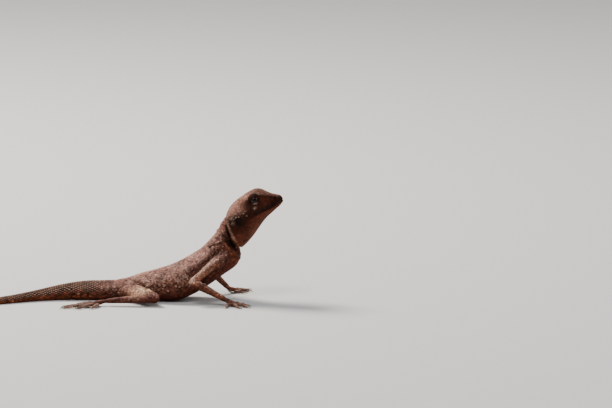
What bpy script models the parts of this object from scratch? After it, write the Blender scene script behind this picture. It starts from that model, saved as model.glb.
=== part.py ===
"""A Sinai agama at life size, as a still model: the fore body is propped on the arms and the head is raised.

The frame has its origin at the middle of the belly's resting flat. +X points to the head, +Y to the animal's
left and +Z up. Every size below is in millimetres, and is turned into metres where a mesh is made.
"""

import math

import bmesh
import bpy
import numpy as np

MM = 0.001
GAP = 0.3  # clearance between two nodes that touch

# Driving dimensions
TAIL_LENGTH = 126.0
HEAD_PITCH = 24.0  # degrees, of the mouth line above the horizontal
EAR = (44.3, 39.2)  # x and z of the head frame's origin, at the level of the ears
EYE_RADIUS = 2.6
EYE_CENTRE = (10.1, 4.4, 5.1)  # forward, sideways and up in the head frame
LID_THICKNESS = 0.6
EAR_CENTRE = (-0.5, 9.4, -0.2)  # of the ear's hollow: forward, sideways and up in the head frame
EAR_RADII = (1.55, 1.6, 2.25)
# Spiny scales round the ear and on the nape: where each leaves the skin, forward, sideways and up
EAR_SPINES = [(0.4, 8.0, 2.9), (-1.1, 7.4, 2.7), (-2.4, 7.5, 1.5), (-2.9, 8.0, -0.4), (-3.8, 5.0, 3.2)]
SPINE_ROOT = 0.9  # how deep a spine is rooted
SPINE_TIP = (-1.2, 1.0, 0.5)  # from where it leaves the skin to its tip
SPINE_RADIUS = 0.6
MOUTH_LEVEL = -1.2
MOUTH_CORNER = 9.2
MOUTH_SLIT = 0.35

# Trunk and neck: x, z, pitch in degrees, half width, height above and depth below the centre
TRUNK = [
    (-12.5, 4.7, 3, 5.4, 4.8, 4.9),
    (-7.0, 5.2, 6, 7.4, 5.3, 5.5),
    (-1.0, 6.2, 10, 8.8, 6.3, 6.6),
    (6.0, 7.5, 12, 10.4, 6.8, 8.0),
    (13.0, 9.0, 17, 11.6, 7.3, 9.4),
    (19.5, 11.6, 25, 11.9, 7.4, 9.4),
    (25.5, 15.3, 33, 11.2, 7.1, 9.4),
    (31.0, 19.9, 40, 10.2, 6.2, 10.0),
    (35.4, 24.3, 44, 8.9, 6.2, 11.1),
    (39.0, 28.4, 38, 7.1, 6.7, 10.1),
    (41.35, 31.9, 24, 6.2, 8.2, 9.1),
]
NECK_START = 8.45  # row of TRUNK where the torso ends
NECK_FOLDS = [(8.85, 0.45), (9.4, 0.5)]  # row and height of the skin folds round the neck
FOLD_WIDTH = 0.13

# Head: forward, half width, top, level of the greatest width, bottom, all in the head frame
HEAD = [
    (-5.4, 6.9, 2.9, -4.2, -13.5),
    (-4.4, 7.9, 4.1, -4.0, -13.7),
    (-1.9, 8.8, 6.1, -3.4, -12.9),
    (1.0, 9.3, 7.4, -3.0, -11.6),
    (4.0, 9.4, 8.3, -2.6, -10.0),
    (7.0, 8.8, 8.9, -1.8, -8.2),
    (10.0, 7.8, 9.3, -1.2, -6.4),
    (12.8, 6.8, 9.3, -1.0, -5.1),
    (14.9, 6.0, 8.3, -1.0, -4.4),
    (16.7, 5.3, 6.3, -1.0, -3.8),
    (18.5, 4.6, 4.4, -0.9, -3.2),
    (20.6, 3.8, 2.9, -0.7, -2.5),
    (21.9, 2.7, 2.0, -0.5, -1.8),
    (22.5, 1.3, 1.0, -0.4, -1.1),
]
# Forms raised on the head: centre (forward, sideways, up), reach along each axis, height
HEAD_FORMS = {
    "brow": ((10.6, 6.0, 8.0), (4.2, 2.4, 1.5), 1.0),
    "snout ridge": ((16.0, 4.0, 5.0), (3.4, 1.3, 1.6), 0.45),
    "temple hollow": ((3.2, 7.8, 4.6), (2.6, 2.4, 2.2), -0.6),
    "jaw muscle": ((2.6, 9.0, -4.6), (3.4, 3.0, 3.4), 0.7),
    "lore hollow": ((14.6, 5.6, 2.4), (2.2, 2.2, 1.5), -0.5),
    "upper lip": ((15.5, 5.6, -0.5), (6.0, 3.0, 0.55), 0.3),
    "lower lip": ((15.5, 5.6, -2.0), (6.0, 3.0, 0.6), 0.25),
}

# Tail: distance from the vent, half width, half height
TAIL = [
    (0.0, 5.3, 4.75),
    (8.0, 4.9, 4.55),
    (16.0, 4.5, 4.35),
    (24.0, 3.9, 3.78),
    (32.0, 3.15, 3.05),
    (40.0, 2.5, 2.4),
    (50.0, 1.95, 1.9),
    (62.0, 1.6, 1.55),
    (80.0, 1.3, 1.25),
    (100.0, 1.0, 0.95),
    (118.0, 0.7, 0.65),
    (126.0, 0.4, 0.4),
]
TAIL_CUTS = {"tail_base": (0.0, 30.0), "tail_middle": (30.0, 76.0), "tail_tip": (76.0, TAIL_LENGTH)}
# Heading of the tail in degrees towards the right side, at distances from the vent
TAIL_BENDS = [(0.0, 0.0), (18.0, 0.0), (42.0, 27.0), (68.0, 25.0), (98.0, 5.0), (126.0, -12.0)]
FLAT = 0.16  # how deep the tail, digits and soles are cut by the floor

# Limbs: the middle of shoulder, elbow, wrist and knuckles, or of hip, knee, ankle and toe roots, as x,
# distance out from the midline and z
ARM_JOINTS = {
    "right": [(37.2, 7.9, 21.2), (22.9, 16.4, 11.0), (38.8, 16.4, 2.3), (42.5, 19.4, 1.1)],
    "left": [(37.2, 7.9, 21.2), (25.8, 18.2, 15.2), (39.3, 16.0, 2.4), (42.8, 19.2, 1.1)],
}
LEG_JOINTS = {
    "right": [(-7.0, 4.0, 4.8), (5.2, 19.4, 3.9), (-18.2, 18.2, 2.3), (-25.6, 21.4, 1.15)],
    "left": [(-7.0, 4.0, 4.8), (5.0, 19.4, 4.2), (-16.2, 21.6, 2.3), (-13.0, 29.0, 1.15)],
}
# Each length of a limb: share of the way to the next joint, half width, half height
ARM_SIZES = {
    "upper_arm": [(0.0, 2.9, 3.1), (0.35, 2.4, 2.6), (0.75, 1.85, 1.95), (1.0, 1.8, 1.9)],
    "forearm": [(0.0, 1.85, 1.9), (0.25, 2.05, 2.05), (0.65, 1.6, 1.55), (1.0, 1.3, 1.2)],
    "hand": [(0.0, 1.3, 1.2), (0.5, 1.95, 1.1), (0.85, 2.3, 0.95), (1.0, 2.2, 0.8)],
}
LEG_SIZES = {
    "thigh": [(0.0, 5.1, 3.5), (0.3, 4.8, 3.45), (0.7, 3.6, 2.95), (1.0, 2.35, 2.4)],
    "shank": [(0.0, 2.1, 2.1), (0.25, 2.0, 1.95), (0.65, 1.6, 1.6), (1.0, 1.15, 1.1)],
    "foot": [(0.0, 1.15, 1.1), (0.45, 1.65, 1.15), (0.85, 2.15, 1.0), (1.0, 2.0, 0.8)],
}

# Digits: angle from the limb's heading towards the outer side, length, and where it leaves the palm or sole
FINGERS = [
    (-62.0, 4.4, 0.45),
    (-28.0, 6.4, 0.8),
    (-4.0, 7.9, 0.95),
    (20.0, 7.7, 0.85),
    (58.0, 5.2, 0.5),
]
TOES = [
    (-38.0, 5.8, 0.55),
    (-16.0, 9.0, 0.85),
    (0.0, 13.2, 0.95),
    (13.0, 12.2, 0.85),
    (42.0, 8.6, 0.4),
]
FINGER_RADIUS = 0.78
TOE_RADIUS = 0.86
CLAW_LENGTH = 1.9
# Digit: share of the length, then radius and height of the middle above the floor as shares of its radius
DIGIT = [
    (-0.12, 0.9, 1.45),
    (0.2, 0.95, 1.5),
    (0.45, 1.0, 1.6),
    (0.6, 0.78, 1.3),
    (0.75, 0.86, 1.06),
    (1.0, 0.62, 0.82),
]
CLAW = [(0.06, 0.4, 0.95), (0.55, 0.28, 0.85), (1.0, 0.08, 0.25)]

COLOURS = {
    "back": (0.36, 0.255, 0.2),
    "head": (0.33, 0.215, 0.165),
    "limb": (0.41, 0.29, 0.215),
    "tail": (0.31, 0.23, 0.19),
    "eye": (0.05, 0.03, 0.02),
}


def curve_through(rows, at):
    """Catmull-Rom curve through the rows of a table, read at fractional row numbers."""
    rows = np.asarray(rows, float)
    at = np.asarray(at, float)
    ends = np.vstack([2 * rows[0] - rows[1], rows, 2 * rows[-1] - rows[-2]])
    first = np.clip(at.astype(int), 0, len(rows) - 2)
    part = (at - first)[:, None]
    a, b, c, d = (ends[first + k] for k in range(4))
    square = (2 * a - 5 * b + 4 * c - d) * part**2
    cube = (3 * b - a - 3 * c + d) * part**3
    return 0.5 * (2 * b + (c - a) * part + square + cube)


def table_at(table, places):
    """The other columns of a table where its first column has the given values, on a smooth curve."""
    table = np.asarray(table, float)
    rows = np.interp(places, table[:, 0], np.arange(len(table)))
    return curve_through(table[:, 1:], rows)


def section(half_width, top, bottom, sides, flat_top=2.2, flat_bottom=2.2):
    """One closed section as (sideways, up) pairs: a superellipse with unlike upper and lower halves."""
    angle = 2 * math.pi * (np.arange(sides) + 0.5) / sides
    cos, sin = np.cos(angle), np.sin(angle)
    power = np.where(sin > 0, 2 / flat_top, 2 / flat_bottom)
    across = np.sign(cos) * np.abs(cos) ** power * half_width
    height = np.abs(sin) ** power * np.where(sin > 0, top, -bottom)
    return across, height


def material(name):
    """A plain material in one of the object's colours."""
    made = bpy.data.materials.get(name)
    if made is None:
        made = bpy.data.materials.new(name)
        made.use_nodes = True
        shader = made.node_tree.nodes["Principled BSDF"]
        shader.inputs["Base Color"].default_value = (*COLOURS[name], 1)
        shader.inputs["Roughness"].default_value = 0.2 if name == "eye" else 0.7
        shader.inputs["Metallic"].default_value = 0
    return made


def loft(name, rings, colour, collection, floor=True):
    """A closed mesh through rings of points in millimetres, with flat ends. The floor cuts it level."""
    rings = np.array(rings, float)
    if floor:
        rings[..., 2] = np.maximum(rings[..., 2], 0)
    mesh = bpy.data.meshes.new(name)
    obj = bpy.data.objects.new(name, mesh)
    work = bmesh.new()
    rows = [[work.verts.new(point * MM) for point in ring] for ring in rings]
    sides = len(rows[0])
    for lower, upper in zip(rows, rows[1:]):
        for k in range(sides):
            after = (k + 1) % sides
            work.faces.new((lower[k], lower[after], upper[after], upper[k]))
    work.faces.new(rows[0][::-1])
    work.faces.new(rows[-1])
    bmesh.ops.recalc_face_normals(work, faces=work.faces)
    bmesh.ops.triangulate(work, faces=work.faces)
    work.to_mesh(mesh)
    work.free()
    mesh.materials.append(material(colour))
    mesh.shade_smooth()
    mesh.set_sharp_from_angle(angle=math.radians(50))
    collection.objects.link(obj)
    return obj


# Trunk and neck

def trunk_rings(rows, sides, grow=0.0):
    """Rings of the trunk and neck at fractional rows of TRUNK, larger all round by grow."""
    rings = []
    for row, (x, z, pitch, half_width, top, bottom) in zip(rows, curve_through(TRUNK, rows)):
        raised = sum(height * math.exp(-(((row - at) / FOLD_WIDTH) ** 2)) for at, height in NECK_FOLDS)
        grown = grow + raised
        across, height = section(half_width + grown, top + grown, bottom + grown, sides, 2.1, 2.5)
        tilt = math.radians(pitch)
        rings.append(
            np.stack([x - height * math.sin(tilt), across, z + height * math.cos(tilt)], axis=1)
        )
    return rings


def make_torso(parts):
    last = len(TRUNK) - 1
    row_gap = 0.04
    spread = np.linspace(0.0, NECK_START - row_gap, 22)
    loft("torso", trunk_rings(spread, 26), "back", parts)
    spread = np.linspace(NECK_START + row_gap, last, 15)
    loft("neck", trunk_rings(spread, 26), "back", parts)


# Head

def head_point(forward, sideways, up):
    """A point of the head frame in the object's frame, in millimetres."""
    tilt = math.radians(HEAD_PITCH)
    return np.stack(
        [
            EAR[0] + forward * math.cos(tilt) - up * math.sin(tilt),
            sideways + 0 * forward,
            EAR[1] + forward * math.sin(tilt) + up * math.cos(tilt),
        ],
        axis=-1,
    )


def head_rings(places, sides):
    """Rings of the head with its raised and hollow forms."""
    rings = []
    for forward, sizes in zip(places, table_at(HEAD, places)):
        half_width, top, level, bottom = sizes
        boxy = 2.5 if forward > 0 else 2.2
        across, height = section(half_width, top - level, level - bottom, sides, boxy, 2.0)
        up = height + level
        out = np.hypot(across, height) + 1e-6
        lift = np.zeros(sides)
        for centre, reach, amount in HEAD_FORMS.values():
            away = (
                ((forward - centre[0]) / reach[0]) ** 2
                + ((np.abs(across) - centre[1]) / reach[1]) ** 2
                + ((up - centre[2]) / reach[2]) ** 2
            )
            lift += amount * np.exp(-away)
        across = across * (1 + lift / out)
        up = level + height * (1 + lift / out)
        rings.append(head_point(np.full(sides, forward), across, up))
    return rings


def ball(name, centre, radii, collection, turn=0.0, segments=16, rings=10, colour="head"):
    """An ellipsoid at a point of the head frame, with its axes along it, turned outwards by turn degrees."""
    work = bmesh.new()
    bmesh.ops.create_uvsphere(work, u_segments=segments, v_segments=rings, radius=1.0)
    mesh = bpy.data.meshes.new(name)
    work.to_mesh(mesh)
    work.free()
    points = np.array([vertex.co for vertex in mesh.vertices]) * np.array(radii)
    spin = math.radians(turn)
    forward = points[:, 0] * math.cos(spin) - points[:, 1] * math.sin(spin)
    sideways = points[:, 0] * math.sin(spin) + points[:, 1] * math.cos(spin)
    placed = head_point(centre[0] + forward, centre[1] + sideways, centre[2] + points[:, 2]) * MM
    mesh.vertices.foreach_set("co", placed.astype(np.float32).ravel())
    mesh.update()
    mesh.materials.append(material(colour))
    mesh.shade_smooth()
    obj = bpy.data.objects.new(name, mesh)
    collection.objects.link(obj)
    return obj


def spine(name, base, tip, radius, collection):
    """A small spiny scale on the head: a cone of five sides from base to tip, in the head frame."""
    base, tip = np.array(base, float), np.array(tip, float)
    along = (tip - base) / np.linalg.norm(tip - base)
    first = np.cross(along, (0.0, 0.0, 1.0))
    first /= np.linalg.norm(first)
    second = np.cross(along, first)
    rings = []
    for centre, size in ((base, radius), (base * 0.5 + tip * 0.5, radius * 0.7), (tip, radius * 0.15)):
        ring = [
            centre + size * (first * math.cos(turn) + second * math.sin(turn))
            for turn in 2 * math.pi * np.arange(5) / 5
        ]
        rings.append([head_point(*point) for point in ring])
    return loft(name, rings, "head", collection, floor=False)


def mouth_cutter(collection):
    """A thin plate along the mouth line, from the corner out past the snout."""
    reach, half = 16.0, MOUTH_SLIT / 2
    rings = []
    for forward in np.linspace(MOUTH_CORNER, 26.0, 10):
        rise = 0.02 * (forward - 14.0) ** 2 * (0.35 if forward > 14.0 else -0.35)
        level = MOUTH_LEVEL + rise
        low, high = level - half, level + half
        corners = [(-reach, low), (reach, low), (reach, high), (-reach, high)]
        rings.append([head_point(forward, sideways, up) for sideways, up in corners])
    return loft("mouth_cutter", rings, "head", collection, floor=False)


def make_head(parts):
    pieces = bpy.data.collections.new("head pieces")
    cutters = bpy.data.collections.new("head cutters")
    places = np.concatenate([np.linspace(-5.4, 18.4, 25), np.linspace(19.3, 22.5, 6)])
    head = loft("head", head_rings(places, 34), "head", parts)
    for side, sign in (("left", 1), ("right", -1)):
        forward, sideways, up = EYE_CENTRE
        centre = (forward, sideways * sign, up)
        lid = EYE_RADIUS + GAP + LID_THICKNESS
        ball(f"{side}_lid", centre, (lid, lid, lid), pieces)
        socket = EYE_RADIUS + GAP
        ball(f"{side}_socket", centre, (socket, socket, socket), cutters)
        opening = (forward + 0.3, (sideways + 2.9) * sign, up - 0.1)
        ball(f"{side}_opening", opening, (2.1, 2.0, 1.25), cutters)
        ear_at, ear_out, ear_up = EAR_CENTRE
        ball(f"{side}_ear", (ear_at, ear_out * sign, ear_up), EAR_RADII, cutters, turn=-6 * sign)
        nostril = (19.9, 4.0 * sign, 1.9)
        ball(f"{side}_nostril", nostril, (0.55, 0.8, 0.5), cutters, segments=8, rings=6)
        for index, (at, out, up_at) in enumerate(EAR_SPINES):
            base = (at, (out - SPINE_ROOT) * sign, up_at)
            tip = (at + SPINE_TIP[0], (out + SPINE_TIP[1]) * sign, up_at + SPINE_TIP[2])
            spine(f"{side}_ear_spine_{index}", base, tip, SPINE_RADIUS, pieces)
        ball(f"{side}_eye", centre, (EYE_RADIUS,) * 3, parts, colour="eye")
    mouth_cutter(cutters)
    join(head, pieces)
    cut(head, cutters)


# Tail

def tail_path(places):
    """Middle line of the tail on the floor plane: x, y and heading at distances from the vent."""
    fine = np.linspace(0, TAIL_LENGTH, 400)
    heading = np.radians(table_at(TAIL_BENDS, fine)[:, 0])
    step = fine[1] - fine[0]
    start = TRUNK[0][0] - GAP
    x = start - np.concatenate([[0], np.cumsum(np.cos(heading[:-1]) * step)])
    y = -np.concatenate([[0], np.cumsum(np.sin(heading[:-1]) * step)])
    return np.interp(places, fine, x), np.interp(places, fine, y), np.interp(places, fine, heading)


def make_tail(parts):
    for name, (start, end) in TAIL_CUTS.items():
        first = start + (GAP if start else 0.0)
        count = 10 if name == "tail_base" else 13
        places = np.linspace(first, end, count)
        sides = {"tail_base": 22, "tail_middle": 14, "tail_tip": 10}[name]
        rings = []
        for x, y, heading, sizes in zip(*tail_path(places), table_at(TAIL, places)):
            half_width, half_height = sizes
            across, height = section(half_width, half_height, half_height, sides, 2.1, 2.1)
            along = x - across * math.sin(heading)
            sideways = y + across * math.cos(heading)
            rings.append(np.stack([along, sideways, half_height - FLAT + height], axis=1))
        loft(name, rings, "tail", parts)


# Limbs

def bone_rings(start, end, sizes, sides, grow=0.0):
    """Rings of one length of a limb between two joints, round at both ends and larger all round by grow."""
    start, end = np.array(start), np.array(end)
    length = np.linalg.norm(end - start)
    ahead = (end - start) / length
    side = np.cross((0.0, 0.0, 1.0), ahead)
    side /= np.linalg.norm(side)
    up = np.cross(ahead, side)
    first, last = sizes[0][1] + grow, sizes[-1][1] + grow
    turns = np.radians([80, 56, 30])
    middle = np.linspace(0, length, 7)
    places = np.concatenate([-first * np.sin(turns), middle, length + last * np.sin(turns[::-1])])
    rounding = np.concatenate([np.cos(turns), np.ones(7), np.cos(turns[::-1])])
    inside = np.clip(places / length, 0, 1)
    rings = []
    for place, shrink, (half_width, half_height) in zip(places, rounding, table_at(sizes, inside)):
        width, height = (half_width + grow) * shrink, (half_height + grow) * shrink
        across, lift = section(width, height, height, sides, 2.1, 2.1)
        rings.append(start + ahead * place + across[:, None] * side + lift[:, None] * up)
    return rings


def digit_rings(base, heading, length, radius, sides):
    """Rings of one digit with its claw, from inside the palm out along a heading on the floor."""
    ahead = np.array([math.cos(heading), math.sin(heading), 0.0])
    side = np.array([-math.sin(heading), math.cos(heading), 0.0])
    rows = [(share * length, size * radius, height * radius) for share, size, height in DIGIT]
    rows += [(length + share * CLAW_LENGTH, size * radius, height * radius) for share, size, height in CLAW]
    rings = []
    for along, size, height in rows:
        across, lift = section(size, size, size, sides, 2.0, 2.0)
        centre = base + ahead * along
        level = height + lift - FLAT / 2
        rings.append(np.stack([centre[0] + across * side[0], centre[1] + across * side[1], level], axis=1))
    return rings


def make_limb(parts, side, joints, sizes, digits, radius, trunk):
    """The three lengths of one limb. Each is cut clear of the next, and the first also of the trunk."""
    sign = 1 if side == "left" else -1
    placed = [(x, out * sign, z) for x, out, z in joints]
    lengths = []
    for (name, table), start, end in zip(sizes.items(), placed, placed[1:]):
        obj = loft(f"{side}_{name}", bone_rings(start, end, table, 14), "limb", parts)
        lengths.append((obj, start, end, table))
    for (obj, *_), (_, start, end, table) in zip(lengths, lengths[1:]):
        clear = bpy.data.collections.new("clearance")
        loft("clearance", bone_rings(start, end, table, 14, GAP), "limb", clear, floor=False)
        cut(obj, clear)
    cut(lengths[0][0], trunk, remove=False)

    extremity, ankle, tip, _ = lengths[-1]
    ankle, tip = np.array([*ankle[:2], 0.0]), np.array([*tip[:2], 0.0])
    ahead = (tip - ankle) / np.linalg.norm(tip - ankle)
    across = np.array([-ahead[1], ahead[0], 0.0]) * sign
    heading = math.atan2(ahead[1], ahead[0])
    fused = bpy.data.collections.new("digits")
    for index, (angle, length, root) in enumerate(digits):
        turned = heading + math.radians(angle) * sign
        base = ankle + (tip - ankle) * root + across * (index - 2) * radius * 1.3
        loft(f"digit_{index + 1}", digit_rings(base, turned, length, radius, 7), "limb", fused)
    join(extremity, fused)


# Joining and cutting

def apply_modifiers(obj):
    """Replaces an object's mesh by its evaluated one and keeps only the largest closed surface of it."""
    graph = bpy.context.evaluated_depsgraph_get()
    mesh = bpy.data.meshes.new_from_object(obj.evaluated_get(graph))
    obj.modifiers.clear()
    obj.data = mesh
    work = bmesh.new()
    work.from_mesh(mesh)
    bmesh.ops.remove_doubles(work, verts=work.verts, dist=2e-6)
    bmesh.ops.triangulate(work, faces=work.faces)
    left = set(work.verts)
    islands = []
    while left:
        island, edge = set(), [left.pop()]
        while edge:
            vertex = edge.pop()
            island.add(vertex)
            for link in vertex.link_edges:
                other = link.other_vert(vertex)
                if other in left:
                    left.remove(other)
                    edge.append(other)
        islands.append(island)
    largest = max(islands, key=len)
    bmesh.ops.delete(work, geom=[v for v in work.verts if v not in largest], context="VERTS")
    work.to_mesh(mesh)
    work.free()
    mesh.shade_smooth()
    mesh.set_sharp_from_angle(angle=math.radians(50))


def combine(obj, others, operation, remove):
    bpy.context.scene.collection.children.link(others)
    modifier = obj.modifiers.new(operation.lower(), "BOOLEAN")
    modifier.operation = operation
    modifier.operand_type = "COLLECTION"
    modifier.collection = others
    modifier.solver = "EXACT"
    apply_modifiers(obj)
    bpy.context.scene.collection.children.unlink(others)
    if remove:
        for other in list(others.objects):
            bpy.data.objects.remove(other)
        bpy.data.collections.remove(others)


def join(obj, others):
    """Fuses the collection's closed meshes to the object."""
    combine(obj, others, "UNION", True)


def cut(obj, others, remove=True):
    """Cuts the collection's closed meshes from the object."""
    combine(obj, others, "DIFFERENCE", remove)


def main():
    for obj in list(bpy.data.objects):
        bpy.data.objects.remove(obj)
    parts = bpy.data.collections.new("sinai agama")
    bpy.context.scene.collection.children.link(parts)
    make_torso(parts)
    make_head(parts)
    make_tail(parts)
    cutters = bpy.data.collections.new("trunk cutters")
    rows = np.linspace(0.0, len(TRUNK) - 1, 40)
    loft("trunk_cutter", trunk_rings(rows, 28, GAP), "back", cutters, floor=False)
    for side in ("right", "left"):
        make_limb(parts, side, ARM_JOINTS[side], ARM_SIZES, FINGERS, FINGER_RADIUS, cutters)
        make_limb(parts, side, LEG_JOINTS[side], LEG_SIZES, TOES, TOE_RADIUS, cutters)
    for obj in list(cutters.objects):
        bpy.data.objects.remove(obj)
    bpy.data.collections.remove(cutters)


main()
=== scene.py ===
"""The looks of the Sinai agama: one skin of flesh under a coat of single scales, with eyes and claws.

Lengths are in millimetres until a mesh is made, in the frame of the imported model: +X to the head, +Y to the
animal's left, +Z up, and the origin under the middle of the belly.
"""

import math

import bpy
import numpy as np
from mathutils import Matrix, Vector, kdtree, noise
from mathutils.bvhtree import BVHTree


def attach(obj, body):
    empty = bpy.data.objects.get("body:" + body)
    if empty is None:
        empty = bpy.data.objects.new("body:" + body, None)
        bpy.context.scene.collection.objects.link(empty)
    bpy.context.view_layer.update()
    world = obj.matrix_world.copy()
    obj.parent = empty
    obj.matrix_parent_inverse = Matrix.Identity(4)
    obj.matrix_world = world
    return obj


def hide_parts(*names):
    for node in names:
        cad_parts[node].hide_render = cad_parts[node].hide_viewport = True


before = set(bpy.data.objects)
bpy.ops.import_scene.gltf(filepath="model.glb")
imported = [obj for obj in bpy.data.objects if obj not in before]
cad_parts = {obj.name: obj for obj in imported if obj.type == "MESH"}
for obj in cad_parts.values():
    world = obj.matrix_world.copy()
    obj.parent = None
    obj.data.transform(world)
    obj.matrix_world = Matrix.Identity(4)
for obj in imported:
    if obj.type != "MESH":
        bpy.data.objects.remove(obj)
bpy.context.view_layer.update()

MM = 0.001
SIDES = (("right", -1), ("left", 1))
# How far the skin and the lowest edges of the scales stay off the floor
SKIN_OFF_FLOOR = 0.03
SCALES_OFF_FLOOR = 0.02

# How far the skin lies inside the solids, by region, and the grain of the skin
INSETS = {"trunk": 0.2, "tail": 0.2, "head": 0.15, "limb": 0.17, "paw": 0.12, "digit": 0.1}
VOXEL = 0.28
SMOOTHING = 0.15

# The photograph: its frame in pixels, its scale at the animal's midline, and where the origin stands in it
PHOTO_SIZE = (612, 408)
PIXELS_PER_MM = 2.12
ORIGIN_PIXEL = (145.0, 299.3)
LOOK_DOWN = math.radians(9.0)
LENS = 300.0
SENSOR = 36.0

# Trunk and neck: x, z, pitch in degrees, half width, height above and depth below the centre
TRUNK = [
    (-12.5, 4.7, 3, 5.4, 4.8, 4.9),
    (-7.0, 5.2, 6, 7.4, 5.3, 5.5),
    (-1.0, 6.2, 10, 8.8, 6.3, 6.6),
    (6.0, 7.5, 12, 10.4, 6.8, 8.0),
    (13.0, 9.0, 17, 11.6, 7.3, 9.4),
    (19.5, 11.6, 25, 11.9, 7.4, 9.4),
    (25.5, 15.3, 33, 11.2, 7.1, 9.4),
    (31.0, 19.9, 40, 10.2, 6.2, 10.0),
    (35.4, 24.3, 44, 8.9, 6.2, 11.1),
    (39.0, 28.4, 38, 7.1, 6.7, 10.1),
    (41.35, 31.9, 24, 6.2, 8.2, 9.1),
]
# Folds round the neck: row of the table, height
NECK_FOLDS = [(8.85, 0.45), (9.4, 0.5)]
NECK_FOLD_WIDTH = 0.13

# Head: forward, half width, top, level of the greatest width, bottom, all in the head frame
HEAD_PITCH = math.radians(24.0)
EAR = (44.3, 39.2)
HEAD = [
    (-5.4, 6.9, 2.9, -4.2, -13.5),
    (-4.4, 7.9, 4.1, -4.0, -13.7),
    (-1.9, 8.8, 6.1, -3.4, -12.9),
    (1.0, 9.3, 7.4, -3.0, -11.6),
    (4.0, 9.4, 8.3, -2.6, -10.0),
    (7.0, 8.8, 8.9, -1.8, -8.2),
    (10.0, 7.8, 9.3, -1.2, -6.4),
    (12.8, 6.8, 9.3, -1.0, -5.1),
    (14.9, 6.0, 8.3, -1.0, -4.4),
    (16.7, 5.3, 6.3, -1.0, -3.8),
    (18.5, 4.6, 4.4, -0.9, -3.2),
    (20.6, 3.8, 2.9, -0.7, -2.5),
    (21.9, 2.7, 2.0, -0.5, -1.8),
    (22.5, 1.3, 1.0, -0.4, -1.1),
]
# Forms of the head: centre, reach each way and height
HEAD_FORMS = {
    "brow": ((10.6, 6.0, 8.0), (4.2, 2.4, 1.5), 1.0),
    "snout ridge": ((16.0, 4.0, 5.0), (3.4, 1.3, 1.6), 0.45),
    "temple hollow": ((3.2, 7.8, 4.6), (2.6, 2.4, 2.2), -0.6),
    "jaw muscle": ((2.6, 9.0, -4.6), (3.4, 3.0, 3.4), 0.7),
    "lore hollow": ((14.6, 5.6, 2.4), (2.2, 2.2, 1.5), -0.5),
    "upper lip": ((15.5, 5.6, -0.5), (6.0, 3.0, 0.55), 0.3),
    "lower lip": ((15.5, 5.6, -2.0), (6.0, 3.0, 0.6), 0.25),
}
HEAD_REAR = -5.4
SNOUT = 22.5
EYE_RADIUS = 2.6
EYE_CENTRE = (10.1, 4.4, 5.1)
EYE_AXIS = (0.16, 0.98, 0.1)
EAR_CUP = ((-0.5, 9.4, -0.2), (1.55, 1.6, 2.25))
EAR_TURN = -6.0
EAR_SPINES = [(0.4, 8.0, 2.9), (-1.1, 7.4, 2.7), (-2.4, 7.5, 1.5), (-2.9, 8.0, -0.4), (-3.9, 6.0, 2.0)]
SPINE_HEIGHT = 1.35
NOSTRIL = ((19.9, 3.75, 1.9), (0.5, 0.9, 0.42))
MOUTH_LEVEL = -1.2
MOUTH_CORNER = 9.2

# Tail: distance from the vent, half width, half height
TAIL_LENGTH = 126.0
TAIL = [
    (0.0, 5.3, 4.75),
    (8.0, 4.9, 4.55),
    (16.0, 4.5, 4.35),
    (24.0, 3.9, 3.78),
    (32.0, 3.15, 3.05),
    (40.0, 2.5, 2.4),
    (50.0, 1.95, 1.9),
    (62.0, 1.6, 1.55),
    (80.0, 1.3, 1.25),
    (100.0, 1.0, 0.95),
    (118.0, 0.7, 0.65),
    (126.0, 0.4, 0.4),
]
TAIL_BENDS = [(0.0, 0.0), (18.0, 0.0), (42.0, 27.0), (68.0, 25.0), (98.0, 5.0), (126.0, -12.0)]
FLAT = 0.16

# Limbs: the middle of each joint as x, distance out from the midline and z, then the sizes along each length
ARM_JOINTS = {
    "right": [(37.2, 7.9, 21.2), (22.9, 16.4, 11.0), (38.8, 16.4, 2.3), (42.5, 19.4, 1.1)],
    "left": [(37.2, 7.9, 21.2), (25.8, 18.2, 15.2), (39.3, 16.0, 2.4), (42.8, 19.2, 1.1)],
}
LEG_JOINTS = {
    "right": [(-7.0, 4.0, 4.8), (5.2, 19.4, 3.9), (-18.2, 18.2, 2.3), (-25.6, 21.4, 1.15)],
    "left": [(-7.0, 4.0, 4.8), (5.0, 19.4, 4.2), (-16.2, 21.6, 2.3), (-13.0, 29.0, 1.15)],
}
ARM_SIZES = {
    "upper_arm": [(0.0, 2.9, 3.1), (0.35, 2.4, 2.6), (0.75, 1.85, 1.95), (1.0, 1.8, 1.9)],
    "forearm": [(0.0, 1.85, 1.9), (0.25, 2.05, 2.05), (0.65, 1.6, 1.55), (1.0, 1.3, 1.2)],
    "hand": [(0.0, 1.3, 1.2), (0.5, 1.95, 1.1), (0.85, 2.3, 0.95), (1.0, 2.2, 0.8)],
}
LEG_SIZES = {
    "thigh": [(0.0, 5.1, 3.5), (0.3, 4.8, 3.45), (0.7, 3.6, 2.95), (1.0, 2.35, 2.4)],
    "shank": [(0.0, 2.1, 2.1), (0.25, 2.0, 1.95), (0.65, 1.6, 1.6), (1.0, 1.15, 1.1)],
    "foot": [(0.0, 1.15, 1.1), (0.45, 1.65, 1.15), (0.85, 2.15, 1.0), (1.0, 2.0, 0.8)],
}

# Digits: angle from the limb's heading towards the outer side, length, and where it leaves the palm or sole
FINGERS = [(-62.0, 4.4, 0.45), (-28.0, 6.4, 0.8), (-4.0, 7.9, 0.95), (20.0, 7.7, 0.85), (58.0, 5.2, 0.5)]
TOES = [(-38.0, 5.8, 0.55), (-16.0, 9.0, 0.85), (0.0, 13.2, 0.95), (13.0, 12.2, 0.85), (42.0, 8.6, 0.4)]
FINGER_RADIUS = 0.78
TOE_RADIUS = 0.86
CLAW_LENGTH = 1.9
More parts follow.
